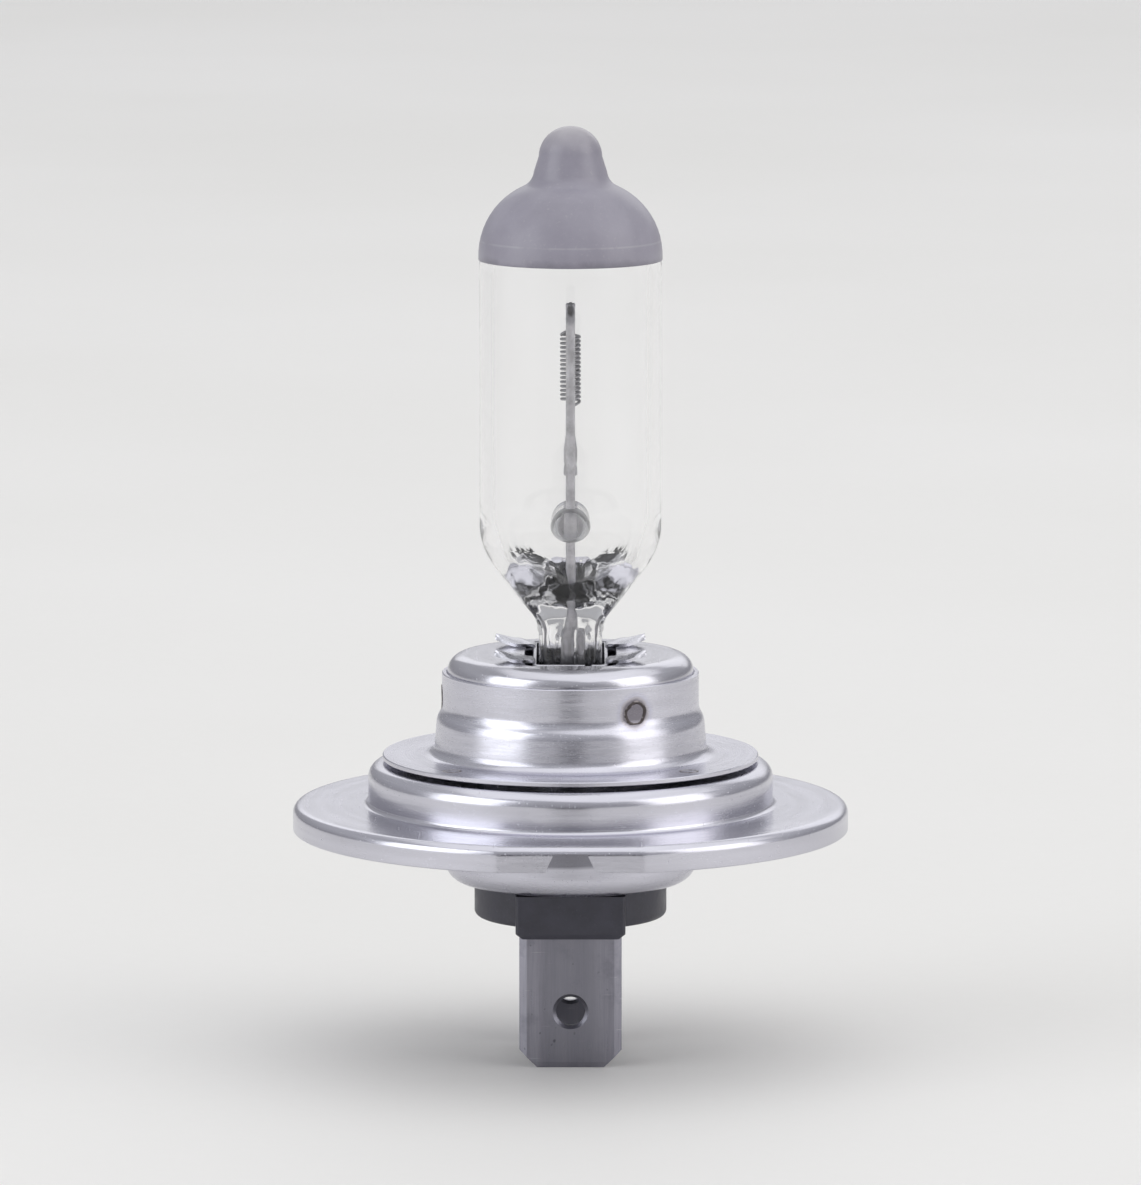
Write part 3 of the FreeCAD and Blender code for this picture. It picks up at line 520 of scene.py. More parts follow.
def cap():
    """Drawn cup: its top runs from the rectangular aperture out to the round shoulder."""
    def between(start, end, share):
        return [a.lerp(b, share) for a, b in zip(start, end)]
    outer = rounded([(CAP_FLAT, CAP_TOP), (CAP_RADIUS, CAP_TOP, CAP_BEND),
                     (CAP_RADIUS, CAP_FOOT + CUT_EDGE)], 18)
    inner = moved_sideways(outer, -SHEET)
    mouth = [size + 2 * CUT_EDGE for size in APERTURE]
    top = rounded_rectangle(*mouth, APERTURE_CORNER + CUT_EDGE, CAP_TOP)
    under = rounded_rectangle(*APERTURE, APERTURE_CORNER, CAP_TOP - SHEET)
    rings = [rounded_rectangle(*APERTURE, APERTURE_CORNER, CAP_TOP - CUT_EDGE), top]
    rings += [between(top, circle(outer[0].x, CAP_TOP), share) for share in (0.3, 0.6, 0.85)]
    rings += [circle(p.x, p.y) for p in outer]
    rings += [circle(CAP_RADIUS - CUT_EDGE, CAP_FOOT), circle(CAP_RADIUS - SHEET + CUT_EDGE, CAP_FOOT)]
    rings += [circle(p.x, p.y) for p in reversed(inner)]
    rings += [between(under, circle(inner[0].x, inner[0].y), 0.5), under]
    return smoothed(loft("cap", rings, wrap=True))


def sleeve():
    """Outer sleeve: a straight wall, a step, a slightly flared skirt and a foot flange."""
    corners = [(SLEEVE_RADIUS, SLEEVE_TOP), (SLEEVE_RADIUS, STEP_TOP, STEP_BEND),
               (STEP_RADIUS, STEP_FOOT, STEP_BEND), (SKIRT_RADIUS, FOOT_TOP, 0.7), (FOOT_RADIUS, FOOT_TOP)]
    return smoothed(turned("sleeve", sheet(corners, SHEET)))


def on_sleeve(angle, across, up, rise):
    """A place on the sleeve's straight wall beside a weld centre."""
    turn = math.radians(angle) + across / SLEEVE_RADIUS
    radius = SLEEVE_RADIUS + rise
    return Vector((radius * math.cos(turn), radius * math.sin(turn), SLEEVE_WELD_HEIGHT + up))


def weld_shape(radius):
    """(share of the radius, height) line over a weld: sunk groove, raised centre, low rim."""
    line = [(0.0, -0.02), (0.12, -0.015), (0.24, -0.03), (0.36, -0.09), (0.46, -0.12), (0.56, -0.09),
            (0.66, -0.02), (0.75, 0.035), (0.84, 0.055), (0.92, 0.045), (0.97, 0.015), (1.0, -0.02)]
    return [(share * radius, height) for share, height in line]


def spots(name, angles, radius, place, depth, relief=1.0):
    """Weld spots as one piece: each is a lofted button with its own slight unevenness."""
    pieces = []
    turns = angles_round(48)
    foot = 0.98 * radius
    for number, angle in enumerate(angles):
        rings = []
        for reach, height in weld_shape(radius):
            ring = []
            for a in turns:
                uneven = 1 + 0.05 * math.sin(2 * a + number * 2.1) + 0.03 * math.sin(5 * a + number)
                swirl = 0.018 * math.sin(a * 3 + reach * 14 + number * 1.7) * (0 < reach < radius * 0.8)
                r = min(reach * uneven, radius)
                ring.append(place(angle, r * math.cos(a), r * math.sin(a), (height + swirl) * relief))
            rings.append(ring)
        rings.append([place(angle, foot * math.cos(a), foot * math.sin(a), -depth) for a in turns])
        rings.append([place(angle, 0, 0, -depth)] * len(turns))
        pieces.append(loft("spot", rings))
    return smoothed(join(name, pieces), 50)


def on_foot(angle, across, along, rise):
    """A place on top of the foot flange beside a weld centre."""
    turn = math.radians(angle)
    outward = Vector((math.cos(turn), math.sin(turn)))
    sideways = Vector((-math.sin(turn), math.cos(turn)))
    spot = outward * (FOOT_WELD_CIRCLE + along) + sideways * across
    return Vector((spot.x, spot.y, FOOT_TOP + rise))


def base():
    """Drawn base: disc, locating wall, flange, and turned-down rim with a flat and a notch in front."""
    corners = [(BASE_BORE, BASE_TOP), (LOCATING_RADIUS, BASE_TOP, 0.9), (LOCATING_RADIUS, 0, 0.3),
               (FLANGE_RADIUS, 0, RIM_BEND), (FLANGE_RADIUS, RIM_FOOT)]
    # The flat pulls in the rim and the flange beside it, and fades out before the locating wall
    rings = []
    for p in sheet(corners, BASE_SHEET):
        inset = BASE_SHEET if p.x < FLANGE_RADIUS - BASE_SHEET + 0.02 else 0.0
        pull = smoothstep(LOCATING_RADIUS + 2.4, FLANGE_RADIUS - RIM_BEND - inset * 0.4, p.x)
        ring = []
        for angle in angles_round(720):
            facing = max(-math.sin(angle), 1e-6)
            radius = p.x - max(0.0, FLANGE_RADIUS - KEY_FLAT / facing) * pull
            ring.append(Vector((radius * math.cos(angle), radius * math.sin(angle), p.y)))
        rings.append(ring)
    shell = loft("base", rings, wrap=True)
    notch = mirrored([(NOTCH_HALF_FOOT, RIM_FOOT - 0.2), (NOTCH_HALF_FOOT, RIM_FOOT),
                      (NOTCH_HALF_TOP, NOTCH_TOP)])
    tool = prism("notch", notch, 1, -KEY_FLAT - 1, -KEY_FLAT + 0.75)
    return smoothed(combined(shell, tool, "DIFFERENCE"))


def collar():
    """Drawn collar under the base: a flange, a wall and a lip that holds the insulator."""
    flange_foot = BASE_TOP - 2 * BASE_SHEET
    corners = [(RING_FLANGE_RADIUS, flange_foot), (RING_RADIUS, flange_foot, 0.3),
               (RING_RADIUS, RING_FOOT, 1.2), (INSULATOR_RADIUS, RING_FOOT)]
    return smoothed(turned("collar", sheet(corners, BASE_SHEET)))


def slab(width, depth, corner, low, high, ease):
    """An upright block on the lamp axis, eased round its foot."""
    return loft("slab", [rounded_rectangle(width - 2 * ease, depth - 2 * ease, corner, low),
                         rounded_rectangle(width, depth, corner, low + ease),
                         rounded_rectangle(width, depth, corner, high)])


def insulating_block():
    """Moulded disc and neck, with a squared block that carries the blades through it."""
    lip_top = RING_FOOT + BASE_SHEET
    outline = rounded([(0, INSULATOR_TOP), (DISC_RADIUS, INSULATOR_TOP, 0.15), (DISC_RADIUS, lip_top, 0.7),
                       (INSULATOR_RADIUS, lip_top, 0), (INSULATOR_RADIUS, INSULATOR_FOOT, 0.35),
                       (0, INSULATOR_FOOT)], 10)
    body = turned("insulating_block", outline, wrap=False)
    combined(body, slab(*BLOCK), "UNION")
    combined(body, slab(*RECESS), "DIFFERENCE")
    return smoothed(body, 28)


def blade(name, side):
    """Flat blade with bevelled long edges, a pointed end, a broken-edged hole, shoulders and a tongue."""
    half, skin = BLADE_WIDTH / 2, BLADE_THICK / 2
    across = [(half, -BEVELLED_EDGE), (half, BEVELLED_EDGE), (half - BEVEL, skin), (-half + BEVEL, skin),
              (-half, BEVELLED_EDGE), (-half, -BEVELLED_EDGE), (-half + BEVEL, -skin), (half - BEVEL, -skin)]
    body = prism(name, across, 2, BLADE_FOOT, SHOULDER_TOP)
    clear, corner_top = half + 0.2, BLADE_FOOT + TIP_CORNER + 0.2
    outline = mirrored([(half - TIP_CORNER, BLADE_FOOT), (clear, corner_top), (clear, SHOULDER_TOP + 0.1)])
    combined(body, prism("outline", outline, 1, -1, 1), "INTERSECT")
    end_wedge = [(-skin - 0.1, BLADE_FOOT - 0.1), (-END_HALF, BLADE_FOOT - 0.1),
                 (-skin - 0.1, BLADE_FOOT + END_SLOPE)]
    for facing in (-1, 1):
        wedge = [(facing * y, z) for y, z in end_wedge]
        combined(body, prism("wedge", wedge, 0, -half - 1, half + 1), "DIFFERENCE")
    rim_radius, past_skin, rim_depth = HOLE_RADIUS + 2 * HOLE_RIM, skin + HOLE_RIM, skin - HOLE_RIM
    hole = [(0, -past_skin), (rim_radius, -past_skin), (HOLE_RADIUS, -rim_depth), (HOLE_RADIUS, rim_depth),
            (rim_radius, past_skin), (0, past_skin)]
    rings = [[Vector((r * math.cos(a), y, HOLE_HEIGHT + r * math.sin(a))) for a in angles_round(96)]
             for r, y in hole]
    combined(body, loft("hole", rings), "DIFFERENCE")
    shoulders = mirrored([(SHOULDER_HALF, SHOULDER_FOOT), (SHOULDER_HALF, SHOULDER_TOP),
                          (TONGUE_HALF, SHOULDER_TOP), (TONGUE_HALF, TONGUE_TOP)])
    combined(body, prism("head", shoulders, 1, -skin, skin), "UNION")
    body.data.transform(Matrix.Translation((0, side * BLADE_OFFSET * MM, 0)))
    return smoothed(body, 20)


# ---------------------------------------------------------------- materials

class Graph:
    """A material's node tree with short ways to add and join nodes."""

    def __init__(self, name, **shader):
        self.material = bpy.data.materials.new(name)
        self.material.use_nodes = True
        self.nodes, self.links = self.material.node_tree.nodes, self.material.node_tree.links
        self.shader = self.nodes["Principled BSDF"]
        for key, value in shader.items():
            self.shader.inputs[key.replace("_", " ")].default_value = value
        self.place = self.node("ShaderNodeTexCoord").outputs["Object"]

    def node(self, kind, inputs=None, **settings):
        """Adds a node. Each input is a plain value or another node's output."""
        made = self.nodes.new(kind)
        for key, value in settings.items():
            setattr(made, key, value)
        for key, value in (inputs or {}).items():
            if isinstance(value, bpy.types.NodeSocket):
                self.links.new(value, made.inputs[key])
            else:
                made.inputs[key].default_value = value
        return made

    def coordinate(self, axis):
        return self.node("ShaderNodeSeparateXYZ", {0: self.place}).outputs[axis]

    def stretched(self, scale, turn=(0.0, 0.0, 0.0)):
        """The place turned and scaled, for a noise that runs one way."""
        inputs = {"Vector": self.place, "Rotation": turn, "Scale": scale}
        return self.node("ShaderNodeMapping", inputs).outputs[0]

    def math(self, operation, *values):
        return self.node("ShaderNodeMath", dict(enumerate(values)), operation=operation).outputs[0]

    def vector(self, operation, *values):
        return self.node("ShaderNodeVectorMath", dict(enumerate(values)), operation=operation)

    def noise(self, scale, detail=3.0, roughness=0.5, vector=None, w=None):
        inputs = {"Vector": vector or self.place, "Scale": scale, "Detail": detail, "Roughness": roughness}
        settings = {}
        if w is not None:
            inputs["W"] = w
            settings["noise_dimensions"] = "4D"
        return self.node("ShaderNodeTexNoise", inputs, **settings).outputs["Fac"]

    def remap(self, value, from_low, from_high, to_low, to_high):
        inputs = {"Value": value, "From Min": from_low, "From Max": from_high}
        inputs.update({"To Min": to_low, "To Max": to_high})
        return self.node("ShaderNodeMapRange", inputs).outputs["Result"]

    def along(self, length, ends, to_low, to_high):
        """A remap of a length, from ends in millimetres."""
        return self.remap(length, ends[0] * MM, ends[1] * MM, to_low, to_high)

    def spread(self, noise, low=0.0, high=1.0):
        """Noise stays mostly between 0.3 and 0.7. This spreads it over a range."""
        return self.remap(noise, 0.3, 0.7, low, high)

    def ramp(self, value, *stops):
        made = self.node("ShaderNodeValToRGB", {"Fac": value})
        elements = made.color_ramp.elements
        while len(elements) < len(stops):
            elements.new(0.5)
        for element, (position, colour) in zip(elements, stops):
            element.position = position
            element.color = (*colour, 1)
        return made.outputs["Color"]

    def mix(self, share, first, second, blend="MIX"):
        """Mix of two colours, which are inputs 6 and 7 and output 2 of the node."""
        made = self.node("ShaderNodeMix", data_type="RGBA", blend_type=blend)
        for key, value in ((0, share), (6, first), (7, second)):
            if isinstance(value, bpy.types.NodeSocket):
                self.links.new(value, made.inputs[key])
            else:
                made.inputs[key].default_value = value if key == 0 else (*value, 1)
        return made.outputs[2]

    def bump(self, height, distance, under=None):
        inputs = {"Height": height, "Distance": distance * MM, "Strength": 1.0}
        if under is not None:
            inputs["Normal"] = under
        return self.node("ShaderNodeBump", inputs).outputs["Normal"]

    def set(self, **sockets):
        """Joins values to the shader's inputs."""
        for key, value in sockets.items():
            self.links.new(value, self.shader.inputs[key.replace("_", " ")])
        return self.material


def round_place(graph, fine, along):
    """Noise coordinates that run finely across radius and height and slowly around the axis."""
    parts = graph.node("ShaderNodeSeparateXYZ", {0: graph.place}).outputs
    flat = graph.node("ShaderNodeCombineXYZ", {0: parts[0], 1: parts[1]}).outputs[0]
    radius = graph.vector("LENGTH", flat).outputs["Value"]
    heading = graph.node("ShaderNodeSeparateXYZ", {0: graph.vector("NORMALIZE", flat).outputs[0]}).outputs
    place = graph.node("ShaderNodeCombineXYZ", {0: graph.math("MULTIPLY", radius, fine),
                                                1: graph.math("MULTIPLY", parts[2], fine),
                                                2: graph.math("MULTIPLY", heading[0], along)}).outputs[0]
    return place, graph.math("MULTIPLY", heading[1], along)


def drawn_steel(name, colour, roughness, lines=0.0012, waves=0.02, welds=(), painted_shade=()):
    """Bright drawn steel: fine lines round the axis, a slow waviness, rubbed patches and scratches.

    Steel is heat-tinted round its welds, and painted shade makes it go dark from one height to another, as
    under a flange."""
    graph = Graph(name, Metallic=1.0, Anisotropic=0.35)
    fine = graph.noise(1.0, 4.0, 0.65, *round_place(graph, 9000.0, 2.5))
    broad = graph.noise(1.0, 2.0, 0.5, *round_place(graph, 1500.0, 1.6))
    ripple = graph.noise(1.0, 2.5, 0.5, *round_place(graph, 700.0, 1.3))
    slow = graph.noise(170.0, 2.0, 0.45)
    rubbed = graph.noise(420.0, 5.0, 0.62)
    long_way = graph.stretched((9000.0, 260.0, 9000.0), (0.4, 0.9, 0.5))
    scratch = graph.remap(graph.noise(1.0, 1.0, 0.4, long_way), 0.71, 0.76, 0.0, 1.0)
    rough = graph.math("ADD", graph.spread(fine, roughness - 0.04, roughness + 0.05),
                       graph.remap(rubbed, 0.45, 0.75, 0.0, 0.05))
    rough = graph.math("ADD", rough, graph.math("MULTIPLY", scratch, 0.08))
    tint = graph.mix(graph.spread(broad), tuple(c * 0.88 for c in colour), colour)
    tint = graph.mix(graph.remap(rubbed, 0.60, 0.8, 0.0, 0.18), tint, (0.50, 0.49, 0.50))
    if welds:
        nearest = None
        for centre in welds:
            away = graph.vector("DISTANCE", graph.place, centre).outputs["Value"]
            nearest = away if nearest is None else graph.math("MINIMUM", nearest, away)
        uneven = graph.math("ADD", nearest, graph.spread(rubbed, -0.12 * MM, 0.12 * MM))
        heat = graph.ramp(graph.along(uneven, HEAT_TINT, 0.0, 1.0), (0.0, (0.36, 0.34, 0.35)),
                          (0.25, (0.74, 0.71, 0.70)), (0.5, (0.88, 0.88, 0.93)), (1.0, (1.0, 1.0, 1.0)))
        tint = graph.mix(1.0, tint, heat, "MULTIPLY")
    # Painted shade: the wall goes darker from one height upwards, where the flange above would shade it
    if painted_shade:
        uneven = graph.math("ADD", graph.coordinate(2), graph.spread(broad, -0.1 * MM, 0.1 * MM))
        tint = graph.mix(graph.along(uneven, painted_shade, 0.0, 0.7), tint, (0.10, 0.10, 0.12))
    normal = graph.bump(ripple, waves, graph.bump(slow, waves))
    normal = graph.bump(broad, lines * 3, normal)
    normal = graph.bump(fine, lines, normal)
    normal = graph.bump(scratch, -0.004, normal)
    tangent = graph.node("ShaderNodeTangent", direction_type="RADIAL", axis="Z").outputs[0]
    return graph.set(Base_Color=tint, Roughness=rough, Normal=normal, Tangent=tangent)


def wire(name, colour, roughness, grain=1500.0, bump=0.004):
    """Drawn wire: dull, with lines along Z and darker oxidised patches."""
    graph = Graph(name, Metallic=1.0)
    lines = graph.noise(grain, 4.0, 0.6, graph.stretched((9.0, 9.0, 0.8)))
    patches = graph.noise(1100.0, 4.0, 0.6)
    tint = graph.mix(graph.remap(patches, 0.35, 0.7, 0.0, 1.0), colour, tuple(c * 0.6 for c in colour))
    rough = graph.spread(lines, roughness - 0.08, roughness + 0.12)
    return graph.set(Base_Color=tint, Roughness=rough, Normal=graph.bump(lines, bump))


def quartz(name, wave, grain, pressed=0.0, milky=0.0):
    """Clear fused quartz with slight flow waves in its surface.

    A pressed foot is crinkled and a little hazy. Milky quartz lets less light through at its edge."""
    graph = Graph(name, Base_Color=(1, 1, 1, 1), Roughness=0.0, IOR=1.458, Transmission_Weight=1.0)
    slow = graph.noise(240.0, 2.0, 0.5, graph.stretched((1.0, 1.0, 0.25)))
    fine = graph.noise(1400.0, 3.0, 0.5)
    haze = graph.remap(graph.noise(700.0, 4.0, 0.6), 0.62, 0.85, 0.0, 0.10)
    normal = graph.bump(fine, grain, graph.bump(slow, wave))
    if pressed:
        foot = graph.along(graph.coordinate(2), CRINKLE_END, 1.0, 0.0)
        curls = graph.noise(820.0, 1.5, 0.45, graph.stretched((1.0, 1.0, 0.6)))
        normal = graph.bump(graph.math("MULTIPLY", curls, foot), pressed, normal)
        haze = graph.math("MAXIMUM", haze, graph.math("MULTIPLY", foot, 0.09))
    if milky:
        facing = graph.node("ShaderNodeLayerWeight", {"Blend": 0.5}).outputs["Facing"]
        graph.set(Transmission_Weight=graph.remap(facing, 0.15, 0.7, 0.92, 0.92 - milky))
    return graph.set(Normal=normal, Roughness=haze)


def cap_coating():
    """Satin grey baked coating: paler at the tip, dark at its edge, with fine specks and a soft painted
    highlight line.
    """
    graph = Graph("grey_coating_look", Coat_Weight=0.18, Coat_Roughness=0.22, Specular_IOR_Level=0.5)
    height = graph.coordinate(2)
    cloud = graph.noise(320.0, 5.0, 0.6)
    wavy = graph.math("ADD", height, graph.spread(cloud, -0.3 * MM, 0.3 * MM))
    speck = graph.remap(graph.noise(5200.0, 2.0, 0.5), 0.62, 0.72, 0.0, 1.0)
    # Painted highlight: a soft pale line round the coating at one height
    from_highlight_line = graph.math("ABSOLUTE", graph.math("SUBTRACT", height, PAINTED_HIGHLIGHT_LINE * MM))
    run = graph.math("SUBTRACT", 1.0, graph.along(from_highlight_line, (0.03, 0.08), 0.0, 1.0))
    run = graph.math("MULTIPLY", run, graph.remap(cloud, 0.42, 0.52, 0.0, 1.0))
    tint = graph.mix(graph.spread(cloud), (0.255, 0.243, 0.290), (0.310, 0.296, 0.350))
    tint = graph.mix(graph.math("MULTIPLY", speck, 0.35), tint, (0.36, 0.35, 0.38))
    tint = graph.mix(graph.along(wavy, THIN_TIP, 0.0, 0.75), tint, (0.42, 0.40, 0.42))
    tint = graph.mix(graph.math("MULTIPLY", run, 0.22), tint, (0.5, 0.49, 0.51))
    tint = graph.mix(graph.along(wavy, DARK_EDGE, 0.45, 0.0), tint, (0.11, 0.105, 0.13))
    normal = graph.bump(graph.noise(4200.0, 3.0, 0.6), 0.004, graph.bump(cloud, 0.02))
    return graph.set(Base_Color=tint, Roughness=graph.spread(cloud, 0.34, 0.46), Normal=normal)


def weld_metal():
    """Fused weld: dark oxide ring, brighter centre, rough all over."""
    graph = Graph("weld_look", Metallic=1.0)
    grain = graph.noise(3600.0, 4.0, 0.65)
    share = graph.node("ShaderNodeAttribute", attribute_name="spot_share").outputs["Fac"]
    uneven = graph.math("ADD", share, graph.spread(grain, -0.1, 0.1))
    tint = graph.ramp(uneven, (0.0, (0.60, 0.58, 0.60)), (0.16, (0.52, 0.50, 0.51)),
                      (0.26, (0.12, 0.10, 0.10)), (0.38, (0.46, 0.44, 0.45)), (0.56, (0.58, 0.55, 0.56)),
                      (0.68, (0.10, 0.085, 0.085)), (0.92, (0.08, 0.07, 0.07)), (1.0, (0.34, 0.31, 0.31)))
    return graph.set(Base_Color=tint, Roughness=graph.spread(grain, 0.28, 0.55),
                     Normal=graph.bump(grain, 0.02))


def black_moulding():
    """Glass-filled black plastic: matt, faintly mottled, with fine eroded texture."""
    graph = Graph("insulator_look", Specular_IOR_Level=0.45)
    mottle = graph.noise(650.0, 5.0, 0.6)
    grain = graph.noise(4200.0, 3.0, 0.55)
    fibre = graph.remap(graph.noise(9000.0, 1.0, 0.5), 0.68, 0.75, 0.0, 0.5)
    tint = graph.mix(graph.spread(mottle), (0.038, 0.037, 0.050), (0.058, 0.057, 0.075))
    tint = graph.mix(fibre, tint, (0.10, 0.10, 0.115))
    return graph.set(Base_Color=tint, Roughness=graph.spread(mottle, 0.36, 0.55),
                     Normal=graph.bump(grain, 0.012))


def tinned_blade():
    """Dull tinned brass: rolling lines, a painted dark reflection down the middle, cross scratches, dark
    marks.
    """
    graph = Graph("terminal_look", Metallic=1.0)
    rolled = graph.stretched((9.0, 1.0, 0.35))
    lines = graph.noise(1100.0, 4.0, 0.62, rolled)
    wide = graph.noise(95.0, 2.0, 0.5, rolled)
    cloud = graph.noise(520.0, 5.0, 0.65)
    marks = graph.remap(graph.noise(1500.0, 2.0, 0.5), 0.69, 0.74, 0.0, 0.8)
    crosswise = graph.stretched((330.0, 2000.0, 9500.0), (0.0, 0.16, 0.0))
    scratch = graph.remap(graph.noise(1.0, 1.0, 0.4, crosswise), 0.755, 0.80, 0.0, 1.0)
    # Painted reflection: the middle of the blade is darker, as a dark reflection would make it
    from_middle = graph.math("ADD", graph.math("ABSOLUTE", graph.coordinate(0)),
                             graph.spread(cloud, -0.2 * MM, 0.2 * MM))
    tint = graph.mix(graph.spread(lines), (0.25, 0.245, 0.285), (0.31, 0.305, 0.35))
    tint = graph.mix(graph.remap(wide, 0.4, 0.6, 0.0, 0.35), tint, (0.42, 0.415, 0.465))
    tint = graph.mix(graph.remap(cloud, 0.55, 0.8, 0.0, 0.6), tint, (0.17, 0.17, 0.195))
    tint = graph.mix(graph.along(from_middle, PAINTED_REFLECTION_MIDDLE, 0.42, 0.0), tint, (0.15, 0.15, 0.175))
    tint = graph.mix(marks, tint, (0.10, 0.10, 0.12))
    tint = graph.mix(graph.math("MULTIPLY", scratch, 0.5), tint, (0.62, 0.62, 0.66))
    rough = graph.math("ADD", graph.spread(lines, 0.26, 0.36), graph.remap(cloud, 0.4, 0.7, 0.0, 0.12))
    normal = graph.bump(scratch, -0.006, graph.bump(lines, 0.003, graph.bump(wide, 0.02)))
    return graph.set(Base_Color=tint, Roughness=rough, Normal=normal)


def pale_floor():
    """Matt paper white, faintly clouded."""
    graph = Graph("floor_look", Specular_IOR_Level=0.25)
    tint = graph.mix(graph.spread(graph.noise(9.0, 3.0, 0.5)), (0.80, 0.79, 0.765), (0.83, 0.82, 0.80))
    fibre = graph.noise(900.0, 3.0, 0.5)
    return graph.set(Base_Color=tint, Roughness=graph.spread(fibre, 0.62, 0.74),
                     Normal=graph.bump(fibre, 0.02))


WELD_PLACES = [on_sleeve(angle, 0, 0, 0) * MM for angle in SLEEVE_WELDS]
looks = {
    "quartz_glass": quartz("quartz_look", 0.012, 0.0008, pressed=0.18),
    "bead_glass": quartz("bead_look", 0.02, 0.004, milky=0.5),
    "grey_coating": cap_coating(),
    "tungsten": wire("tungsten_look", (0.46, 0.455, 0.48), 0.40),
    "molybdenum": wire("molybdenum_look", (0.66, 0.65, 0.68), 0.34),
    "foil": wire("foil_look", (0.50, 0.50, 0.53), 0.40, 2500.0),
    "lead_wire": wire("lead_wire_look", (0.48, 0.48, 0.50), 0.35),
    "spring_steel": drawn_steel("clip_look", (0.60, 0.60, 0.645), 0.27, 0.0006, 0.01),
    "cap_steel": drawn_steel("cap_look", (0.64, 0.635, 0.69), 0.20, 0.0010, 0.02),
    "sleeve_steel": drawn_steel("sleeve_look", (0.66, 0.655, 0.72), 0.25, 0.0012, 0.035, WELD_PLACES),
    "base_steel": drawn_steel("base_look", (0.66, 0.655, 0.72), 0.22, 0.0011, 0.022),
    # The collar's wall carries painted shade under the base's flange
    "ring_steel": drawn_steel("ring_look", (0.62, 0.615, 0.68), 0.24, 0.0012, 0.025, painted_shade=RING_PAINTED_SHADE),
    "weld_metal": weld_metal(),
    "black_insulator": black_moulding(),
    "terminal_metal": tinned_blade(),
    "lead_sleeve_metal": wire("lead_sleeve_look", (0.62, 0.62, 0.64), 0.26),
}


# ---------------------------------------------------------------- pieces

def show(piece, slot, *nodes):
    """Gives a piece its look and its body, and hides the CAD nodes it stands for."""
    piece.data.materials.clear()
    piece.data.materials.append(looks[slot])
    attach(piece, "root")
    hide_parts(*nodes)


def mark_spots(piece, centres, radius):
    """Stores on each point how far it is from its weld's centre, as a share of the radius."""
    attribute = piece.data.attributes.new("spot_share", "FLOAT", "POINT")
    for vertex, item in zip(piece.data.vertices, attribute.data):
        item.value = min(min((vertex.co - centre).length for centre in centres) / (radius * MM), 1.0)


sleeve_spots = spots("sleeve_spots", SLEEVE_WELDS, SLEEVE_WELD_RADIUS, on_sleeve, depth=0.25)
mark_spots(sleeve_spots, WELD_PLACES, SLEEVE_WELD_RADIUS)
# The foot welds are flatter. Their share stops at a quarter, so they are pale with a thin dark edge
foot_spots = spots("foot_spots", FOOT_WELDS, FOOT_WELD_RADIUS, on_foot, depth=0.28, relief=0.4)
mark_spots(foot_spots, [on_foot(angle, 0, 0, 0) * MM for angle in FOOT_WELDS], 4 * FOOT_WELD_RADIUS)

show(capsule(), "quartz_glass", "glass_envelope")
show(coating(), "grey_coating", "antiglare_coating")
show(coil(), "tungsten", "filament_coil")
show(upper_clamp(), "molybdenum", "upper_coil_clamp")
show(lower_clamp(), "molybdenum", "lower_coil_clamp")
long_lead = support_lead("long_lead", FRONT, LONG_LEAD_TOP - LEAD_WIRE / 2, 0.8)
short_lead = support_lead("short_lead", REAR, SHORT_LEAD_TOP, 0.7)
show(long_lead, "molybdenum", "long_support_lead")
show(short_lead, "molybdenum", "short_support_lead")
show(bead(), "bead_glass", "bridge_bead")
show(clip(), "spring_steel", "pinch_clip")
show(cap(), "cap_steel", "inner_cap")
show(sleeve(), "sleeve_steel", "focus_sleeve")
show(sleeve_spots, "weld_metal", "sleeve_welds")
show(foot_spots, "weld_metal", "foot_welds")
show(base(), "base_steel", "base_shell")
show(collar(), "ring_steel", "rear_ring")
show(insulating_block(), "black_insulator", "insulator")
show(blade("front_blade", FRONT), "terminal_metal", "front_terminal")
show(blade("rear_blade", REAR), "terminal_metal", "rear_terminal")

slots = {part["node"]: part["material_slot"] for part in frame["record"]["subparts"]}
for name, node in frame["nodes"].items():
    for place in node.material_slots:
        place.material = looks[slots[name]]


# ---------------------------------------------------------------- floor, light and camera

low, high = (Vector(corner) for corner in cad_box)
floor_rings = [circle(radius, low.z / MM - FLOOR_GAP, 96) for radius in FLOOR_RADII]
floor_foot = [p - Vector((0, 0, FLOOR_THICK)) for p in floor_rings[-1]]
floor = loft("floor", floor_rings + [floor_foot])
floor.data.materials.append(pale_floor())


def soft_box(name, spot, width, height, power, colour=(1, 1, 1)):
    """A rectangular soft light aimed at the bulb. It isn't seen directly or through glass."""
    data = bpy.data.lights.new(name, "AREA")
    data.shape = "RECTANGLE"
    data.size = width
    data.size_y = height
    data.energy = power
    data.color = colour
    light = placed(name, data)
    light.location = spot
    light.rotation_euler = (LIT_POINT - Vector(spot)).to_track_quat("-Z", "Y").to_euler()
    light.visible_camera = False
    light.visible_transmission = False


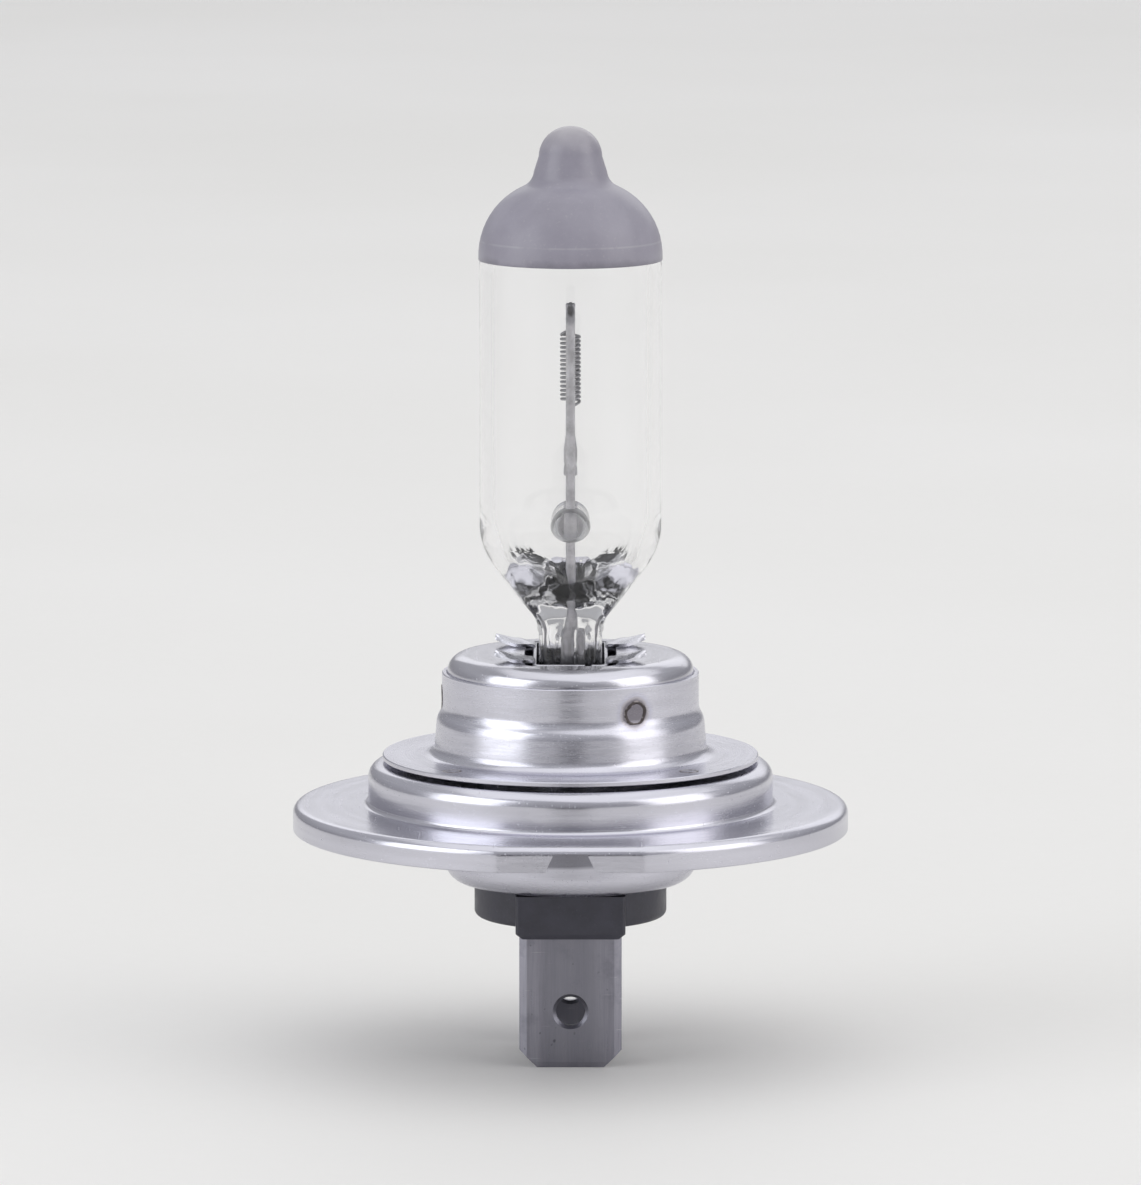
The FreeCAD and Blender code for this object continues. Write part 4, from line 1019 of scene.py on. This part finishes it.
soft_box("over_light", (0.1, -0.05, 0.9), 1.6, 1.6, 5.4)
soft_box("left_light", (-1.52, -0.80, 0.55), 1.45, 1.52, 12.5, (0.96, 0.98, 1.0))
soft_box("right_light", (1.67, -0.73, 0.70), 1.45, 1.52, 10.5, (1.0, 0.99, 0.98))
soft_box("back_light", (0.28, 1.80, 0.85), 1.9, 1.10, 4.8)

# The world runs from grey at the horizon to near white above
world = bpy.data.worlds.new("studio")
bpy.context.scene.world = world
world.use_nodes = True
sky_nodes, sky_links = world.node_tree.nodes, world.node_tree.links
sky = sky_nodes["Background"]
sky.inputs["Strength"].default_value = SKY_STRENGTH
direction = sky_nodes.new("ShaderNodeTexCoord")
parts = sky_nodes.new("ShaderNodeSeparateXYZ")
fade = sky_nodes.new("ShaderNodeValToRGB")
for element, (position, colour) in zip(fade.color_ramp.elements, SKY_STOPS):
    element.position = position
    element.color = (*colour, 1)
sky_links.new(direction.outputs["Generated"], parts.inputs[0])
sky_links.new(parts.outputs[2], fade.inputs["Fac"])
sky_links.new(fade.outputs["Color"], sky.inputs["Color"])

# A dark card in front of the bulb, which only reflections see
card = prism("dark_card", rectangle(*CARD_EDGES), 1, *CARD_FACES)
card.data.materials.append(Graph("card_look", Base_Color=(0.06, 0.058, 0.07, 1), Roughness=0.8).material)
for ray in ("camera", "diffuse", "transmission", "volume_scatter", "shadow"):
    setattr(card, "visible_" + ray, False)

camera_data = bpy.data.cameras.new("camera")
camera = placed("camera", camera_data)
camera_data.sensor_fit = "VERTICAL"
camera_data.angle_y = math.radians(VIEW_HEIGHT)
tilt = math.radians(LOOKING_DOWN)
camera.location = (low + high) / 2 + Vector((0, -math.cos(tilt), math.sin(tilt))) * CAMERA_DISTANCE
camera.rotation_euler = (math.pi / 2 - tilt, 0, 0)
bpy.context.scene.camera = camera

scene = bpy.context.scene
scene.view_settings.view_transform = "Standard"
scene.cycles.max_bounces = 24
scene.cycles.transmission_bounces = 20
scene.cycles.glossy_bounces = 10
